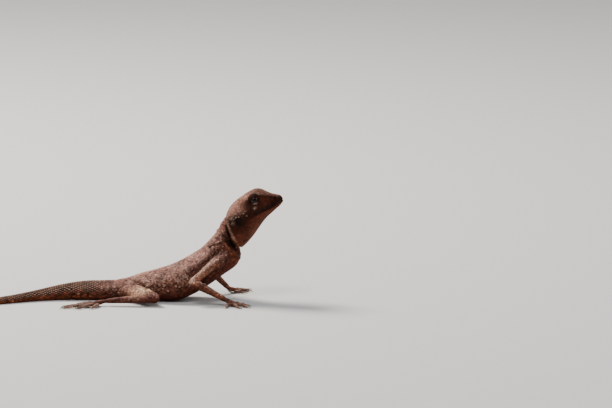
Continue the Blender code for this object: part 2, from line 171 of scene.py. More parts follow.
# Share of a digit's or a claw's length, then radius and height of its middle line in radii
DIGIT = [
    (-0.12, 0.9, 1.45), (0.2, 0.95, 1.5), (0.45, 1.0, 1.6),
    (0.6, 0.78, 1.3), (0.75, 0.86, 1.06), (1.0, 0.62, 0.82),
]
CLAW = [
    (-0.3, 0.36, 0.9), (0.06, 0.4, 0.95), (0.3, 0.36, 0.98),
    (0.55, 0.27, 0.86), (0.8, 0.17, 0.55), (1.0, 0.05, 0.2),
]
LIMBS = [
    (sign, joints[side], sizes, digits, radius)
    for side, sign in SIDES
    for joints, sizes, digits, radius in (
        (ARM_JOINTS, ARM_SIZES, FINGERS, FINGER_RADIUS),
        (LEG_JOINTS, LEG_SIZES, TOES, TOE_RADIUS),
    )
]


# Curves and sections

def curve_through(rows, at):
    """Catmull-Rom curve through the rows of a table, read at fractional row numbers."""
    rows, at = np.asarray(rows, float), np.asarray(at, float)
    ends = np.vstack([2 * rows[0] - rows[1], rows, 2 * rows[-1] - rows[-2]])
    first = np.clip(at.astype(int), 0, len(rows) - 2)
    part = (at - first)[:, None]
    a, b, c, d = (ends[first + k] for k in range(4))
    bend, twist = 2 * a - 5 * b + 4 * c - d, 3 * b - a - 3 * c + d
    return 0.5 * (2 * b + (c - a) * part + bend * part**2 + twist * part**3)


def table_at(table, places):
    """The other columns of a table where its first column has the given values, on a smooth curve."""
    table = np.asarray(table, float)
    return curve_through(table[:, 1:], np.interp(places, table[:, 0], np.arange(len(table))))


def turns(count, first=0.0):
    """Angles evenly round a circle."""
    return 2 * math.pi * (np.arange(count) + first) / count


def section(half_width, top, bottom, sides, flat_top=2.1, flat_bottom=2.1):
    """One closed cross-section as (sideways, up) pairs: a superellipse with unlike upper and lower halves."""
    angle = turns(sides, 0.5)
    cos, sin = np.cos(angle), np.sin(angle)
    power = np.where(sin > 0, 2 / flat_top, 2 / flat_bottom)
    across = np.sign(cos) * np.abs(cos) ** power * half_width
    return across, np.abs(sin) ** power * np.where(sin > 0, top, -bottom)


def unit(vectors):
    return vectors / (np.linalg.norm(vectors, axis=-1, keepdims=True) + 1e-12)


def ease(low, high, values):
    """From nothing at low to one at high, with soft ends. Low may be the greater of the two."""
    part = np.clip((values - low) / (high - low), 0, 1)
    return part * part * (3 - 2 * part)


def bell(offset, width):
    """One where the offset is nothing, falling off over about the width on both sides."""
    return np.exp(-((offset / width) ** 2))


def mix(first, second, part):
    return first * (1 - part[:, None]) + second * part[:, None]


# Fields: each length of the body as rings of points, with what the scales on it need to know

def ring_quads(first, rows, sides):
    """Quads between rings of vertices that are numbered from first."""
    grid = first + np.arange(rows * sides).reshape(rows, sides)
    after = np.roll(grid, -1, axis=1)
    return np.stack([grid[:-1], after[:-1], after[1:], grid[1:]], axis=-1).reshape(-1, 4)


class Field:
    """A length of the body as rings of points. Scales lie towards its later rings where lie is 1."""

    def __init__(self, region, rings, lie=1):
        self.region, self.lie = region, lie
        self.rings = np.array(rings, float)
        self.rings[..., 2] = np.maximum(self.rings[..., 2], 0.0)
        self.points = self.rings.reshape(-1, 3)
        steps = np.diff(self.rings.mean(axis=1), axis=0)
        self.along = np.concatenate([[0], np.cumsum(np.linalg.norm(steps, axis=1))])

    def faces(self, first):
        """Quads between the rings and the two end faces, with vertices numbered from first."""
        rows, sides = self.rings.shape[:2]
        start = np.arange(first, first + sides)
        ends = [start[::-1].tolist(), (start + (rows - 1) * sides).tolist()]
        return ring_quads(first, rows, sides).tolist() + ends


def trunk_rings(rows, sides):
    rings = []
    for row, (x, z, pitch, half_width, top, bottom) in zip(rows, curve_through(TRUNK, rows)):
        raised = sum(fold * bell(row - at, NECK_FOLD_WIDTH) for at, fold in NECK_FOLDS)
        grown = raised - INSETS["trunk"]
        across, height = section(half_width + grown, top + grown, bottom + grown, sides, 2.1, 2.5)
        tilt = math.radians(pitch)
        rings.append(np.stack([x - height * math.sin(tilt), across, z + height * math.cos(tilt)], axis=1))
    return rings


def head_point(forward, sideways, up):
    """Points of the head frame in the model's frame."""
    cos, sin = math.cos(HEAD_PITCH), math.sin(HEAD_PITCH)
    x, z = EAR[0] + forward * cos - up * sin, EAR[1] + forward * sin + up * cos
    return np.stack([x, sideways + 0 * forward, z], axis=-1)


def in_head_frame(points):
    """Forward, out from the midline and up in the head frame."""
    cos, sin = math.cos(HEAD_PITCH), math.sin(HEAD_PITCH)
    x, z = points[:, 0] - EAR[0], points[:, 2] - EAR[1]
    return x * cos + z * sin, np.abs(points[:, 1]), -x * sin + z * cos


def off_centre(place, centre, reach=(1, 1, 1)):
    """Square of the distance from a centre, told in reaches each way."""
    return sum(((at - middle) / far) ** 2 for at, middle, far in zip(place, centre, reach))


def head_rings(places, sides):
    """Rings of the head with its raised and hollow forms. The rear rim is rolled in, as loose skin."""
    rings, inset = [], INSETS["head"]
    table = table_at(HEAD, np.maximum(places, HEAD_REAR))
    for forward, (half_width, top, level, bottom) in zip(places, table):
        boxy = 2.5 if forward > 0 else 2.2
        sizes = half_width - inset, top - level - inset, level - bottom - inset
        across, height = section(*sizes, sides, boxy, 2.0)
        spot = (forward, np.abs(across), height + level)
        lift = np.zeros(sides)
        for centre, reach, amount in HEAD_FORMS.values():
            lift += amount * np.exp(-off_centre(spot, centre, reach))
        stretch = 1 + lift / (np.hypot(across, height) + 1e-6)
        up = level + height * stretch
        roll = max(0.0, HEAD_REAR + 0.9 - forward)
        shrink = 1 - 0.16 * roll * roll
        sagging = -0.75 * bell(forward - HEAD_REAR, 2.0) * bell(up + 6.0, 3.4)
        rings.append(head_point(forward + sagging, across * stretch * shrink, level + (up - level) * shrink))
    return rings


def tail_path(places):
    """Where the tail's middle line is at distances from the vent, and its heading there."""
    fine = np.linspace(0, TAIL_LENGTH, 400)
    heading = np.radians(table_at(TAIL_BENDS, fine)[:, 0])
    step = fine[1] - fine[0]
    x, y = (np.concatenate([[0], np.cumsum(way(heading[:-1]) * step)]) for way in (np.cos, np.sin))
    return [np.interp(places, fine, column) for column in (TRUNK[0][0] - 0.3 - x, -y, heading)]


def tail_rings(places, sides):
    rings = []
    for x, y, heading, (half_width, half_height) in zip(*tail_path(places), table_at(TAIL, places)):
        inset = min(INSETS["tail"], 0.25 * half_height)
        across, height = section(half_width - inset, half_height - inset, half_height - inset, sides)
        side = (math.sin(-heading), math.cos(heading))
        ring = [x + across * side[0], y + across * side[1], half_height - FLAT + height]
        rings.append(np.stack(ring, axis=1))
    return rings


def bone_rings(start, end, sizes, inset, sides=36, count=34):
    """Rings of one length of a limb between two joints, round at both ends."""
    start, end = np.array(start), np.array(end)
    length = np.linalg.norm(end - start)
    ahead = (end - start) / length
    side = unit(np.cross((0.0, 0.0, 1.0), ahead))
    up = np.cross(ahead, side)
    cap = np.radians([84, 70, 55, 40, 25, 12])
    before, behind = -(sizes[0][1] - inset) * np.sin(cap), (sizes[-1][1] - inset) * np.sin(cap[::-1])
    places = np.concatenate([before, np.linspace(0, length, count), length + behind])
    rounding = np.concatenate([np.cos(cap), np.ones(count), np.cos(cap[::-1])])
    rings = []
    for place, shrink, size in zip(places, rounding, table_at(sizes, np.clip(places / length, 0, 1))):
        half_width, half_height = (size - inset) * shrink
        across, lift = section(half_width, half_height, half_height, sides)
        rings.append(start + ahead * place + across[:, None] * side + lift[:, None] * up)
    return rings


def digit_rings(table, base, heading, start, length, radius, count, sides, inset=0.0):
    """Rings of a digit or claw that starts some way along a heading on the floor."""
    ahead = np.array([math.cos(heading), math.sin(heading)])
    side = np.array([-math.sin(heading), math.cos(heading)])
    rings = []
    for share, size, height in curve_through(table, np.linspace(0, len(table) - 1, count)):
        across, lift = section(*[size * radius - inset] * 3, sides, 2.0, 2.0)
        spots = base[:2] + ahead * (start + share * length) + across[:, None] * side
        rings.append(np.column_stack([spots, height * radius + lift - FLAT / 2]))
    return rings


def digit_places(joints, digits, radius, sign):
    """Root, heading and length of each digit of a hand or foot."""
    ankle, tip = (np.array([x, out * sign, 0.0]) for x, out, _ in joints[-2:])
    ahead = unit(tip - ankle)
    across = np.array([-ahead[1], ahead[0], 0.0]) * sign
    heading = math.atan2(ahead[1], ahead[0])
    for index, (angle, length, root) in enumerate(digits):
        base = ankle + (tip - ankle) * root + across * (index - 2) * radius * 1.3
        yield base, heading + math.radians(angle) * sign, length


def make_fields():
    """Every length of the body, a coat's depth inside the solids."""
    places = np.concatenate([np.linspace(HEAD_REAR, 18.5, 80), np.linspace(18.7, SNOUT, 22)])
    fields = [
        Field("trunk", trunk_rings(np.linspace(0, len(TRUNK) - 1, 150), 84), -1),
        Field("tail", tail_rings(np.linspace(-1.5, TAIL_LENGTH, 260), 40)),
        Field("head", head_rings(places, 96), -1),
    ]
    for sign, joints, sizes, digits, radius in LIMBS:
        placed = [(x, out * sign, z) for x, out, z in joints]
        for (name, table), start, end in zip(sizes.items(), placed, placed[1:]):
            region = "paw" if name in ("hand", "foot") else "limb"
            fields.append(Field(region, bone_rings(start, end, table, INSETS[region])))
        for base, heading, length in digit_places(joints, digits, radius, sign):
            rings = digit_rings(DIGIT, base, heading, 0.0, length, radius, 22, 16, INSETS["digit"])
            fields.append(Field("digit", rings))
    return fields


# Meshes

def linked(name, data):
    """A new object of the scene with the given data."""
    obj = bpy.data.objects.new(name, data)
    bpy.context.scene.collection.objects.link(obj)
    return obj


def fill(items, key, values):
    """Sets one property of all the items of a mesh from an array."""
    items.foreach_set(key, np.asarray(values, np.float32).ravel())


def new_object(name, points, faces):
    """A smooth mesh object from points in millimetres."""
    mesh = bpy.data.meshes.new(name)
    mesh.from_pydata((points * MM).tolist(), [], faces)
    mesh.shade_smooth()
    mesh.update()
    return linked(name, mesh)


def joined(name, fields):
    """One object of several closed fields."""
    faces, count = [], 0
    for field in fields:
        faces += field.faces(count)
        count += len(field.points)
    return new_object(name, np.concatenate([field.points for field in fields]), faces)


def applied(obj):
    """Replaces an object's mesh by its evaluated one."""
    graph = bpy.context.evaluated_depsgraph_get()
    mesh = bpy.data.meshes.new_from_object(obj.evaluated_get(graph))
    obj.modifiers.clear()
    obj.data = mesh


def vertex_values(mesh, key):
    values = np.empty(len(mesh.vertices) * 3, np.float32)
    mesh.vertices.foreach_get(key, values)
    return values.reshape(-1, 3).astype(float)


def ellipsoid(centre, radii, sign, turn):
    """A cutter in the head frame, turned outwards by turn degrees."""
    polar = np.linspace(0.02, math.pi - 0.02, 24)[:, None]
    angle, spin = turns(36), math.radians(turn * sign)
    x = np.sin(polar) * np.cos(angle) * radii[0]
    y = np.sin(polar) * np.sin(angle) * radii[1]
    z = (np.cos(polar) + 0 * angle) * radii[2]
    forward = x * math.cos(spin) - y * math.sin(spin)
    sideways = x * math.sin(spin) + y * math.cos(spin)
    rings = head_point(centre[0] + forward, centre[1] * sign + sideways, centre[2] + z)
    return joined("cutter", [Field("head", rings[::-1])])


def make_flesh(fields):
    """One seamless closed mesh round all the fields, with sockets, ears and nostrils cut into the head."""
    flesh = joined("skin", [field for field in fields if field.region != "head"])
    head = joined("head_flesh", [field for field in fields if field.region == "head"])
    socket = (EYE_CENTRE, (EYE_RADIUS + 0.45,) * 3)
    hollows = ((socket, 0.0), (EAR_CUP, EAR_TURN), (NOSTRIL, 0.0))
    cutters = [ellipsoid(*form, sign, turn) for sign in (1, -1) for form, turn in hollows]
    for cutter in cutters:
        modifier = head.modifiers.new("cut", "BOOLEAN")
        modifier.operation = "DIFFERENCE"
        modifier.object = cutter
        modifier.solver = "EXACT"
    applied(head)
    for cutter in cutters:
        bpy.data.objects.remove(cutter)
    both = [flesh, head]
    with bpy.context.temp_override(active_object=flesh, selected_editable_objects=both, object=flesh):
        bpy.ops.object.join()
    remesh = flesh.modifiers.new("one skin", "REMESH")
    remesh.mode = "VOXEL"
    remesh.voxel_size = VOXEL * MM
    applied(flesh)
    return flesh


# What the skin knows at each vertex

REGIONS = ["trunk", "tail", "head", "limb", "paw", "digit", "lid"]


def point_tree(points):
    """A tree that finds the nearest of the points."""
    tree = kdtree.KDTree(len(points))
    for index, point in enumerate(points):
        tree.insert(point, index)
    tree.balance()
    return tree


def sample_fields(fields, points):
    """What the nearest point of any field knows: region, field, length, girth, height and lie."""
    known = []
    for number, field in enumerate(fields):
        rows, sides = field.rings.shape[:2]
        angle = turns(sides, 0.5)
        known.append(np.column_stack([
            np.tile([REGIONS.index(field.region), number], (rows * sides, 1)),
            np.repeat(field.along / field.along[-1], sides),
            np.tile(angle / (2 * math.pi), rows),
            np.tile(np.sin(angle), rows),
            (unit(np.gradient(field.rings, axis=0)) * field.lie).reshape(-1, 3),
        ]))
    tree = point_tree(np.concatenate([field.points for field in fields]))
    known = np.concatenate(known)[[tree.find(point)[1] for point in points]]
    return (*known[:, :2].T.astype(int), *known[:, 2:5].T, known[:, 5:])


def edges_of(faces):
    """Every edge of the faces once, as an array of vertex pairs."""
    pairs = np.stack([faces, np.roll(faces, -1, axis=1)], axis=-1).reshape(-1, 2)
    return np.unique(np.sort(pairs, axis=1), axis=0)


def spread(values, edges, rounds):
    """Evens values out between neighbouring vertices."""
    flat = np.array(values, float).reshape(len(values), -1)
    count = np.bincount(edges.ravel(), minlength=len(flat)) + 1.0
    for _ in range(rounds):
        total = flat.copy()
        for column in range(flat.shape[1]):
            for here, there in (edges.T, edges.T[::-1]):
                total[:, column] += np.bincount(here, flat[there, column], len(flat))
        flat = total / count[:, None]
    return flat.reshape(np.shape(values))


# Folds of loose skin, as lines of (x, z) on both flanks, with depth and width
FLANK_FOLDS = [
    ([(37.2, 41.0), (38.1, 36.9), (39.3, 33.0), (41.0, 29.5), (42.6, 27.0)], 1.2, 0.85),
    ([(39.8, 28.6), (41.5, 26.2), (43.2, 25.0)], 1.0, 1.2),
    ([(36.0, 36.4), (36.4, 33.2), (37.4, 30.4)], 0.5, 0.5),
    ([(30.4, 25.9), (34.0, 27.3), (37.2, 28.9), (39.4, 29.4)], 0.5, 0.65),
    ([(31.2, 26.0), (31.6, 22.8), (30.4, 20.4)], 0.36, 0.55),
    ([(33.2, 25.6), (33.4, 23.6), (32.4, 22.0)], 0.42, 0.45),
    ([(35.4, 26.4), (35.6, 24.6)], 0.35, 0.4),
    ([(38.4, 20.0), (40.2, 22.0), (40.6, 24.4)], 0.3, 0.6),
    ([(34.6, 17.2), (29.0, 12.6), (25.4, 8.4)], 0.35, 0.7),
    ([(20.4, 16.0), (17.0, 12.0), (15.0, 7.0)], 0.12, 0.8),
    ([(-3.0, 9.4), (0.5, 7.4), (2.5, 4.4)], 0.4, 0.7),
]
HOOD_RIM = ([(38.6, 41.8), (39.4, 37.4), (41.2, 32.6), (43.0, 29.4)], 0.3, 0.45)
# Joints that are smoothed into the body: x, distance from the midline, z and reach
BLENDS = {
    "right": [
        (36.0, 8.4, 20.4, 4.4), (-4.5, 8.0, 4.8, 7.0), (22.9, 16.4, 11.0, 2.2), (3.6, 19.6, 4.5, 3.0),
        (38.8, 16.4, 2.4, 2.4), (-18.2, 18.2, 2.4, 2.6), (42.3, 19.4, 1.1, 3.0), (-25.4, 21.4, 1.1, 3.2),
    ],
    "left": [
        (36.0, 8.4, 20.4, 4.4), (-4.5, 8.0, 4.8, 7.0), (25.8, 18.2, 15.2, 2.2), (4.6, 19.6, 4.8, 3.0),
        (39.3, 16.0, 2.4, 2.4), (-16.2, 21.6, 2.4, 2.6), (42.6, 19.2, 1.1, 3.0), (-13.0, 28.8, 1.1, 3.2),
    ],
}


def distance_to_line(points, line):
    """Distance in the plane of x and z from points to a line of several stretches."""
    flat = points[:, [0, 2]]
    best = np.full(len(points), 1e9)
    for start, end in zip(np.array(line), np.array(line[1:])):
        way = end - start
        part = np.clip(((flat - start) @ way) / (way @ way), 0, 1)
        best = np.minimum(best, np.linalg.norm(flat - start - part[:, None] * way, axis=1))
    return best


def on_flank(points):
    """One on both flanks, and nothing near the midline."""
    return ease(3.0, 5.5, np.abs(points[:, 1]))


def mouth_level(forward):
    """Height of the mouth line in the head frame."""
    return MOUTH_LEVEL + np.where(forward > 14.0, 0.007, -0.007) * (forward - 14.0) ** 2


def shape_flesh(flesh, edges):
    """Smooths where lengths join, and presses in folds, wrinkles and the mouth. Tells the folds' depth."""
    points = vertex_values(flesh.data, "co") / MM
    blend = np.zeros(len(points))
    for side, sign in SIDES:
        for x, out, z, reach in BLENDS[side]:
            away = np.linalg.norm(points - (x, out * sign, z), axis=1)
            blend = np.maximum(blend, 1 - ease(reach * 0.6, reach, away))
    smoothed = gentle = spread(points, edges, max(1, round(SMOOTHING / VOXEL**2)))
    for _ in range(6):
        smoothed = mix(points, spread(smoothed, edges, 4), blend)
    points = mix(gentle, smoothed, blend)
    fill(flesh.data.vertices, "co", points * MM)
    flesh.data.update()

    press = np.zeros(len(points))
    for line, depth, width in FLANK_FOLDS:
        away = distance_to_line(points, line)
        press -= depth * bell(away, width) * on_flank(points)
        press += 0.45 * depth * bell(away - 1.7 * width, width) * on_flank(points)
    line, height, width = HOOD_RIM
    press += height * bell(distance_to_line(points, line), width) * on_flank(points)
    forward, out, up = in_head_frame(points)
    corner = ease(MOUTH_CORNER - 0.4, MOUTH_CORNER + 0.6, forward)
    press -= 0.4 * bell(up - mouth_level(forward), 0.22) * corner * ((up < 4) & (up > -5))
    (ear_at, _, ear_up), (ear_long, _, ear_tall) = EAR_CUP
    ear = np.hypot((forward - ear_at) / ear_long, (up - ear_up) / ear_tall)
    press += 0.34 * bell(ear - 1.16, 0.15) * (out > 6.0)
    nose_at, _, nose_up = NOSTRIL[0]
    nose = np.where(out > 2.2, np.hypot(forward - nose_at, up - nose_up), 9.0)
    press += 0.16 * bell(nose - 0.9, 0.25) - 0.75 * bell(nose, 0.45)
    throat = ease(-7.0, -10.0, up) * ease(-5.0, -2.0, forward) * (forward < 16)
    press += 0.1 * throat * np.cos(out * 2 * math.pi / 2.3)
    pressed = points + vertex_values(flesh.data, "normal") * press[:, None]
    folded = ease(0.15, 0.5, spread(np.abs(press), edges, 3)) * (up < -5.0)
    points = mix(pressed, spread(pressed, edges, 3), folded)
    points[:, 2] = np.maximum(points[:, 2], SKIN_OFF_FLOOR)
    return points, spread(ease(0.04, 0.55, -press), edges, 2)


# Eyelids: degrees out from the margin and distance from the eye's centre

LID_PROFILE = [
    (0.0, 2.64), (0.0, 2.8), (1.5, 2.95), (4.5, 3.05), (9.0, 3.08), (15.0, 3.12), (22.0, 3.2), (31.0, 3.3),
    (42.0, 3.38), (55.0, 3.42), (70.0, 3.4), (86.0, 3.3), (100.0, 3.1),
]
# The profile stretches to the skin past this angle, a share of 0.22 along it
LID_STEADY = 22.0
LID_DIP = 0.18
LID_HALF_LENGTH = 2.1
LID_HALF_HEIGHT = (1.25, 1.05)


def on_eye(sign, polar, turn, radius):
    """Points round an eye: polar is the angle from its axis, and turn is 0 ahead and grows upwards."""
    out = unit(np.array(EYE_AXIS) * (1, sign, 1))
    level = np.array([1.0, 0.0, -0.08])
    ahead = unit(level - out * (level @ out))
    up = np.cross(out, ahead) * -sign
    polar, turn, radius = (values[..., None] for values in np.broadcast_arrays(polar, turn, radius))
    local = np.cos(polar) * out + np.sin(polar) * np.cos(turn) * ahead + np.sin(polar) * np.sin(turn) * up
    return head_point(*np.moveaxis(np.array(EYE_CENTRE) * (1, sign, 1) + local * radius, -1, 0))


def below_skin(tree, spot):
    """How deep a point lies under a surface; less than nothing outside it."""
    place, normal, _, away = tree.find_nearest(spot)
    return away if (place - Vector(spot)).dot(normal) > 0 else -away


def lid_rings(sign, flesh_tree, sides=72):
    """Both lids of one eye as rings from the margin outwards, ending just under the skin of the head."""
    turn = turns(sides)
    across = LID_HALF_LENGTH * np.cos(turn)
    tall = np.where(np.sin(turn) > 0, *LID_HALF_HEIGHT) * np.sign(np.sin(turn)) * np.abs(np.sin(turn)) ** 1.35
    margin = np.arcsin(np.clip(np.hypot(across, tall) / EYE_RADIUS, 0, 1))
    profile, radii = np.array(LID_PROFILE).T

    def ring(degrees):
        even = ease(0, 60, degrees)
        polar = margin * (1 - even) + margin.mean() * even + np.radians(degrees)
        return on_eye(sign, polar, np.arctan2(tall, across), np.interp(degrees, profile, radii))

    reach = np.full(sides, profile[-1])
    for degrees in np.arange(profile[-1], LID_STEADY + 2, -1.0):
        depth = np.array([below_skin(flesh_tree, spot) for spot in ring(np.full(sides, degrees))])
        reach = np.where(depth > LID_DIP, degrees, reach)
    reach = (np.roll(reach, 1) + 2 * reach + np.roll(reach, -1)) / 4

    def row(place):
        stretched = LID_STEADY + (reach - LID_STEADY) * ((place / profile[-1] - 0.22) / 0.78)
        return ring(np.full(sides, place) if place <= LID_STEADY else stretched)

    return np.array([row(place) for place in profile])


# The coat

# Scales by region: width, how much longer than wide, lift of the free edge, keel and dome
COATS = {
    "trunk": (0.87, 1.0, 0.2, 0.14, 0.05),
    "tail": (1.05, 1.25, 0.26, 0.3, 0.04),
    "head": (0.8, 1.0, 0.06, 0.0, 0.12),
    "limb": (0.78, 1.05, 0.18, 0.14, 0.05),
    "paw": (0.62, 1.0, 0.12, 0.04, 0.08),
    "digit": (0.6, 1.2, 0.12, 0.0, 0.1),
    "lid": (0.4, 1.0, 0.05, 0.0, 0.16),
}
# Share of a turn from one place where a column of scales starts or ends to the next
GOLDEN = 0.618
# How far a row may lie off the skin, and the least distance between scales in widths, of rows and of others
ROW_REACH = 0.55
NEAREST_IN_ROWS = 0.6
NEAREST_ELSEWHERE = 0.82
# How many neighbours push a scale, and how many bound its cell
PUSHING = 7
BOUNDING = 14
# Edges of the scales that are sharper than this stay sharp, in degrees
SHARP_EDGE = 38
# Size of a scale on the unwrap
SCALE_ON_UNWRAP = 0.0015
SPINE_SPOTS = [head_point(at, out * sign, up) for at, out, up in EAR_SPINES for sign in (1, -1)]


def tail_taper(share):
    """How the tail's scales grow behind the trunk and shrink again to the tip."""
    return (0.84 + 0.16 * ease(0.0, 0.09, share)) * (1 - 0.45 * ease(0.1, 1.0, share))


def tail_growth(share):
    """From nothing at the vent, where the tail's scales are as the trunk's, to one."""
    return ease(0.0, 0.1, share)


def scale_size(region, share):
    """Width and length of a scale at a share of a field's length."""
    width, longer = COATS[region][:2]
    if region == "trunk":
        width *= 0.93
    if region == "tail":
        width *= tail_taper(share)
        longer = 1 + (longer - 1) * tail_growth(share)
    return width, width * longer


def lattice(field):
    """Points in rows round a field, each row between the scales of the row before.

    Columns of scales start or end one at a time, here and there round the field, as its girth asks.
    """
    rings, total = field.rings, field.along[-1]
    width, length = scale_size(field.region, 0.0)
    row, turn = 0.43 * length, 0.0
    around, spots = np.zeros(0), []
    while row < total:
        at = np.interp(row, field.along, np.arange(len(rings)))
        low = min(int(at), len(rings) - 2)
        ring = rings[low] * (1 - at + low) + rings[low + 1] * (at - low)
        closed = np.vstack([ring, ring[:1]])
        round_way = np.concatenate([[0], np.cumsum(np.linalg.norm(np.diff(closed, axis=0), axis=1))])
        wanted = max(5, round(round_way[-1] / width))
        if not len(around):
            around = np.arange(wanted) / wanted
        while len(around) != wanted:
            turn = (turn + GOLDEN) % 1
            index = np.abs((around - turn + 0.5) % 1 - 0.5).argmin()
            if len(around) > wanted:
                around = np.delete(around, index)
            else:
                between = around[index] + ((np.roll(around, -1) - around) % 1)[index] / 2
                around = np.insert(around, index + 1, between % 1)
        places = around * round_way[-1]
        spots.append(np.stack([np.interp(places, round_way, closed[:, k]) for k in range(3)], axis=1))
        around = (around + ((np.roll(around, -1) - around) % 1) / 2) % 1
        width, length = scale_size(field.region, row / total)
        row += 0.87 * length
    return np.concatenate(spots)


def eye_distance(points):
    return np.sqrt(off_centre(in_head_frame(points), EYE_CENTRE))


def head_spacing(points):
    """Spacing of the scales over the head, from large plates on the crown to small ones round the eye."""
    forward, _, up = in_head_frame(points)
    large = 0.2 * (ease(5.5, 7.5, up) * ease(-1.0, 3.0, forward))
    spacing = 0.74 + large + 0.12 * ease(13.0, 16.0, forward) * ease(0.0, 2.0, up)
    spacing = spacing - 0.14 * ease(1.0, -4.0, forward) - 0.08 * ease(-6.0, -9.0, up)
    return spacing - 0.24 * ease(5.2, 3.6, eye_distance(points))


def nape(points):
    """One over the temples and the nape, where the scales are raised grains with pale tips."""
    forward, _, up = in_head_frame(points)
    return ease(6.0, 2.5, forward) * ease(-0.5, 2.0, up) * ease(8.6, 7.0, up)


def spine_heights(points):
    """How far each scale stands out: as a tall spine at each listed place, and less round it."""
    tall = np.zeros(len(points))
    for spot in SPINE_SPOTS:
        away = np.linalg.norm(points - spot, axis=1)
        tall = np.maximum(tall, 0.36 * SPINE_HEIGHT * ease(1.6, 0.7, away))
        tall[away.argmin()] = SPINE_HEIGHT
    return tall


class Skin:
    """The finished skin as arrays, and what each vertex of it knows. Its last vertices are the lids'."""

    def __init__(self, points, faces, fields, fold):
        self.points, self.faces = points, faces
        self.fold = np.concatenate([fold, np.zeros(len(points) - len(fold))])
        edges = edges_of(faces)
        region, self.number, self.share, self.around, up, lie = sample_fields(fields, points)
        region[len(fold):] = REGIONS.index("lid")
        self.part = {name: region == index for index, name in enumerate(REGIONS)}
        self.shares = {name: spread(part, edges, 12) for name, part in self.part.items()}
        self.up = spread(up, edges, 6)
        self.lie = unit(spread(lie, edges, 12))
        self.normals = self.vertex_normals()
        self.tree = BVHTree.FromPolygons(points.tolist(), faces.tolist())
        self.neck_crest = self.part["trunk"] * ease(0.7, 0.84, self.share) * ease(0.2, 0.7, self.up)
        self.coat = spread(self.scale_sizes(np.array([COATS[name] for name in REGIONS])[region]), edges, 4)

    def scale_sizes(self, coat):
        """The sizes, changed along the body: large on the spine, small at the neck, flat on the belly."""
        head, tail, trunk = self.part["head"], self.part["tail"], self.part["trunk"]
        coat[head, 0] = head_spacing(self.points[head])
        coat[head, 4] += 0.16 * nape(self.points[head])
        spine = 0.86 + 0.16 * ease(0.3, 0.9, self.up[trunk])
        coat[trunk, 0] *= spine * (1 - 0.22 * ease(0.78, 0.95, self.share[trunk]))
        coat[tail, 0] *= tail_taper(self.share[tail])
        coat[tail, 1:] = mix(np.array(COATS["trunk"][1:]), coat[tail, 1:], tail_growth(self.share[tail]))
        coat[:, 2:4] += self.neck_crest[:, None] * (0.08, 0.16)
        belly = ease(-0.1, -0.7, self.up)
        belly *= self.shares["trunk"] + self.shares["limb"] + 0.5 * self.shares["tail"]
        coat[:, 2:4] *= 1 - belly[:, None] * (0.6, 0.95)
        return coat

    def vertex_normals(self):
        corner = self.points[self.faces]
        normal = np.cross(corner[:, 2] - corner[:, 0], corner[:, 3] - corner[:, 1])
        total = np.zeros_like(self.points)
        for corners in self.faces.T:
            for axis in range(3):
                total[:, axis] += np.bincount(corners, normal[:, axis], len(total))
        return unit(total)

    def nearest_vertices(self, points):
        """The vertex nearest to each point, by the face that the point lies on."""
        found = []
        for point in points:
            corners = self.faces[self.tree.find_nearest(point)[2]]
            found.append(corners[np.argmin(((self.points[corners] - point) ** 2).sum(axis=1))])
        return np.array(found)


def bare(points, lid):
    """Where the skin has no scales: in the ears, the nostrils and the sockets, and at the lids' margins."""
    spot = in_head_frame(points)
    inside = (off_centre(spot, *EAR_CUP) < 1.12) | (off_centre(spot, *NOSTRIL) < 2.6)
    return inside | (eye_distance(points) < np.where(lid, 2.98, 3.35))


def mouth_rows(skin):
    """Roots of the plates along both lips, found by looking inwards from outside."""
    spots = []
    for sign in (1, -1):
        for offset in (0.5, -0.5):
            for forward in np.arange(MOUTH_CORNER + 0.2, 22.2, 1.05):
                outside = head_point(forward, 14.0 * sign, mouth_level(forward) + offset)
                spots.append(skin.tree.ray_cast(Vector(outside), Vector((0, -sign, 0)))[0])
    return [spot for spot in spots if spot is not None]


def too_near(first, second, near):
    """Whether two scales, each a place and a width, are closer than a share of their mean width."""
    limit = near * (first[3] + second[3]) * 0.5
    return sum((first[k] - second[k]) ** 2 for k in range(3)) < limit * limit


def thin_out(points, spacing, fixed, usable):
    """Keeps points in order, unless one kept before is too near."""
    cell = 1.2
    grid, kept = {}, []
    keys = np.floor(points / cell).astype(int)
    steps = np.array(list(np.ndindex(3, 3, 3))) - 1
    scales = np.column_stack([points, spacing]).tolist()
    for index in np.nonzero(usable)[0].tolist():
        near = NEAREST_IN_ROWS if fixed[index] else NEAREST_ELSEWHERE
        cells = map(tuple, (keys[index] + steps).tolist())
        if not any(too_near(other, scales[index], near) for key in cells for other in grid.get(key, ())):
            grid.setdefault(tuple(keys[index].tolist()), []).append(scales[index])
            kept.append(index)
    return np.array(kept)


def neighbours(points, chosen, count):
    """The points nearest to each chosen one, without itself."""
    tree = point_tree(points)
    found = (tree.find_n(points[index], count + 1) for index in chosen)
    return np.array([[other for _, other, _ in near[1:]] for near in found])


def even_out(skin, roots, nearest, fixed):
    """Pushes scattered roots apart until they lie evenly."""
    spacing = skin.coat[nearest, 0][:, None]
    for _ in range(4):
        apart = roots[:, None] - roots[neighbours(roots, range(len(roots)), PUSHING)]
        away = np.linalg.norm(apart, axis=2)
        push = (unit(apart) * np.clip(1 - away / (1.12 * spacing), 0, 1)[..., None]).sum(axis=1)
        roots = roots + push * spacing * 0.35 * (~fixed)[:, None]
        roots[~fixed] = [tuple(skin.tree.find_nearest(root)[0]) for root in roots[~fixed]]
    return roots


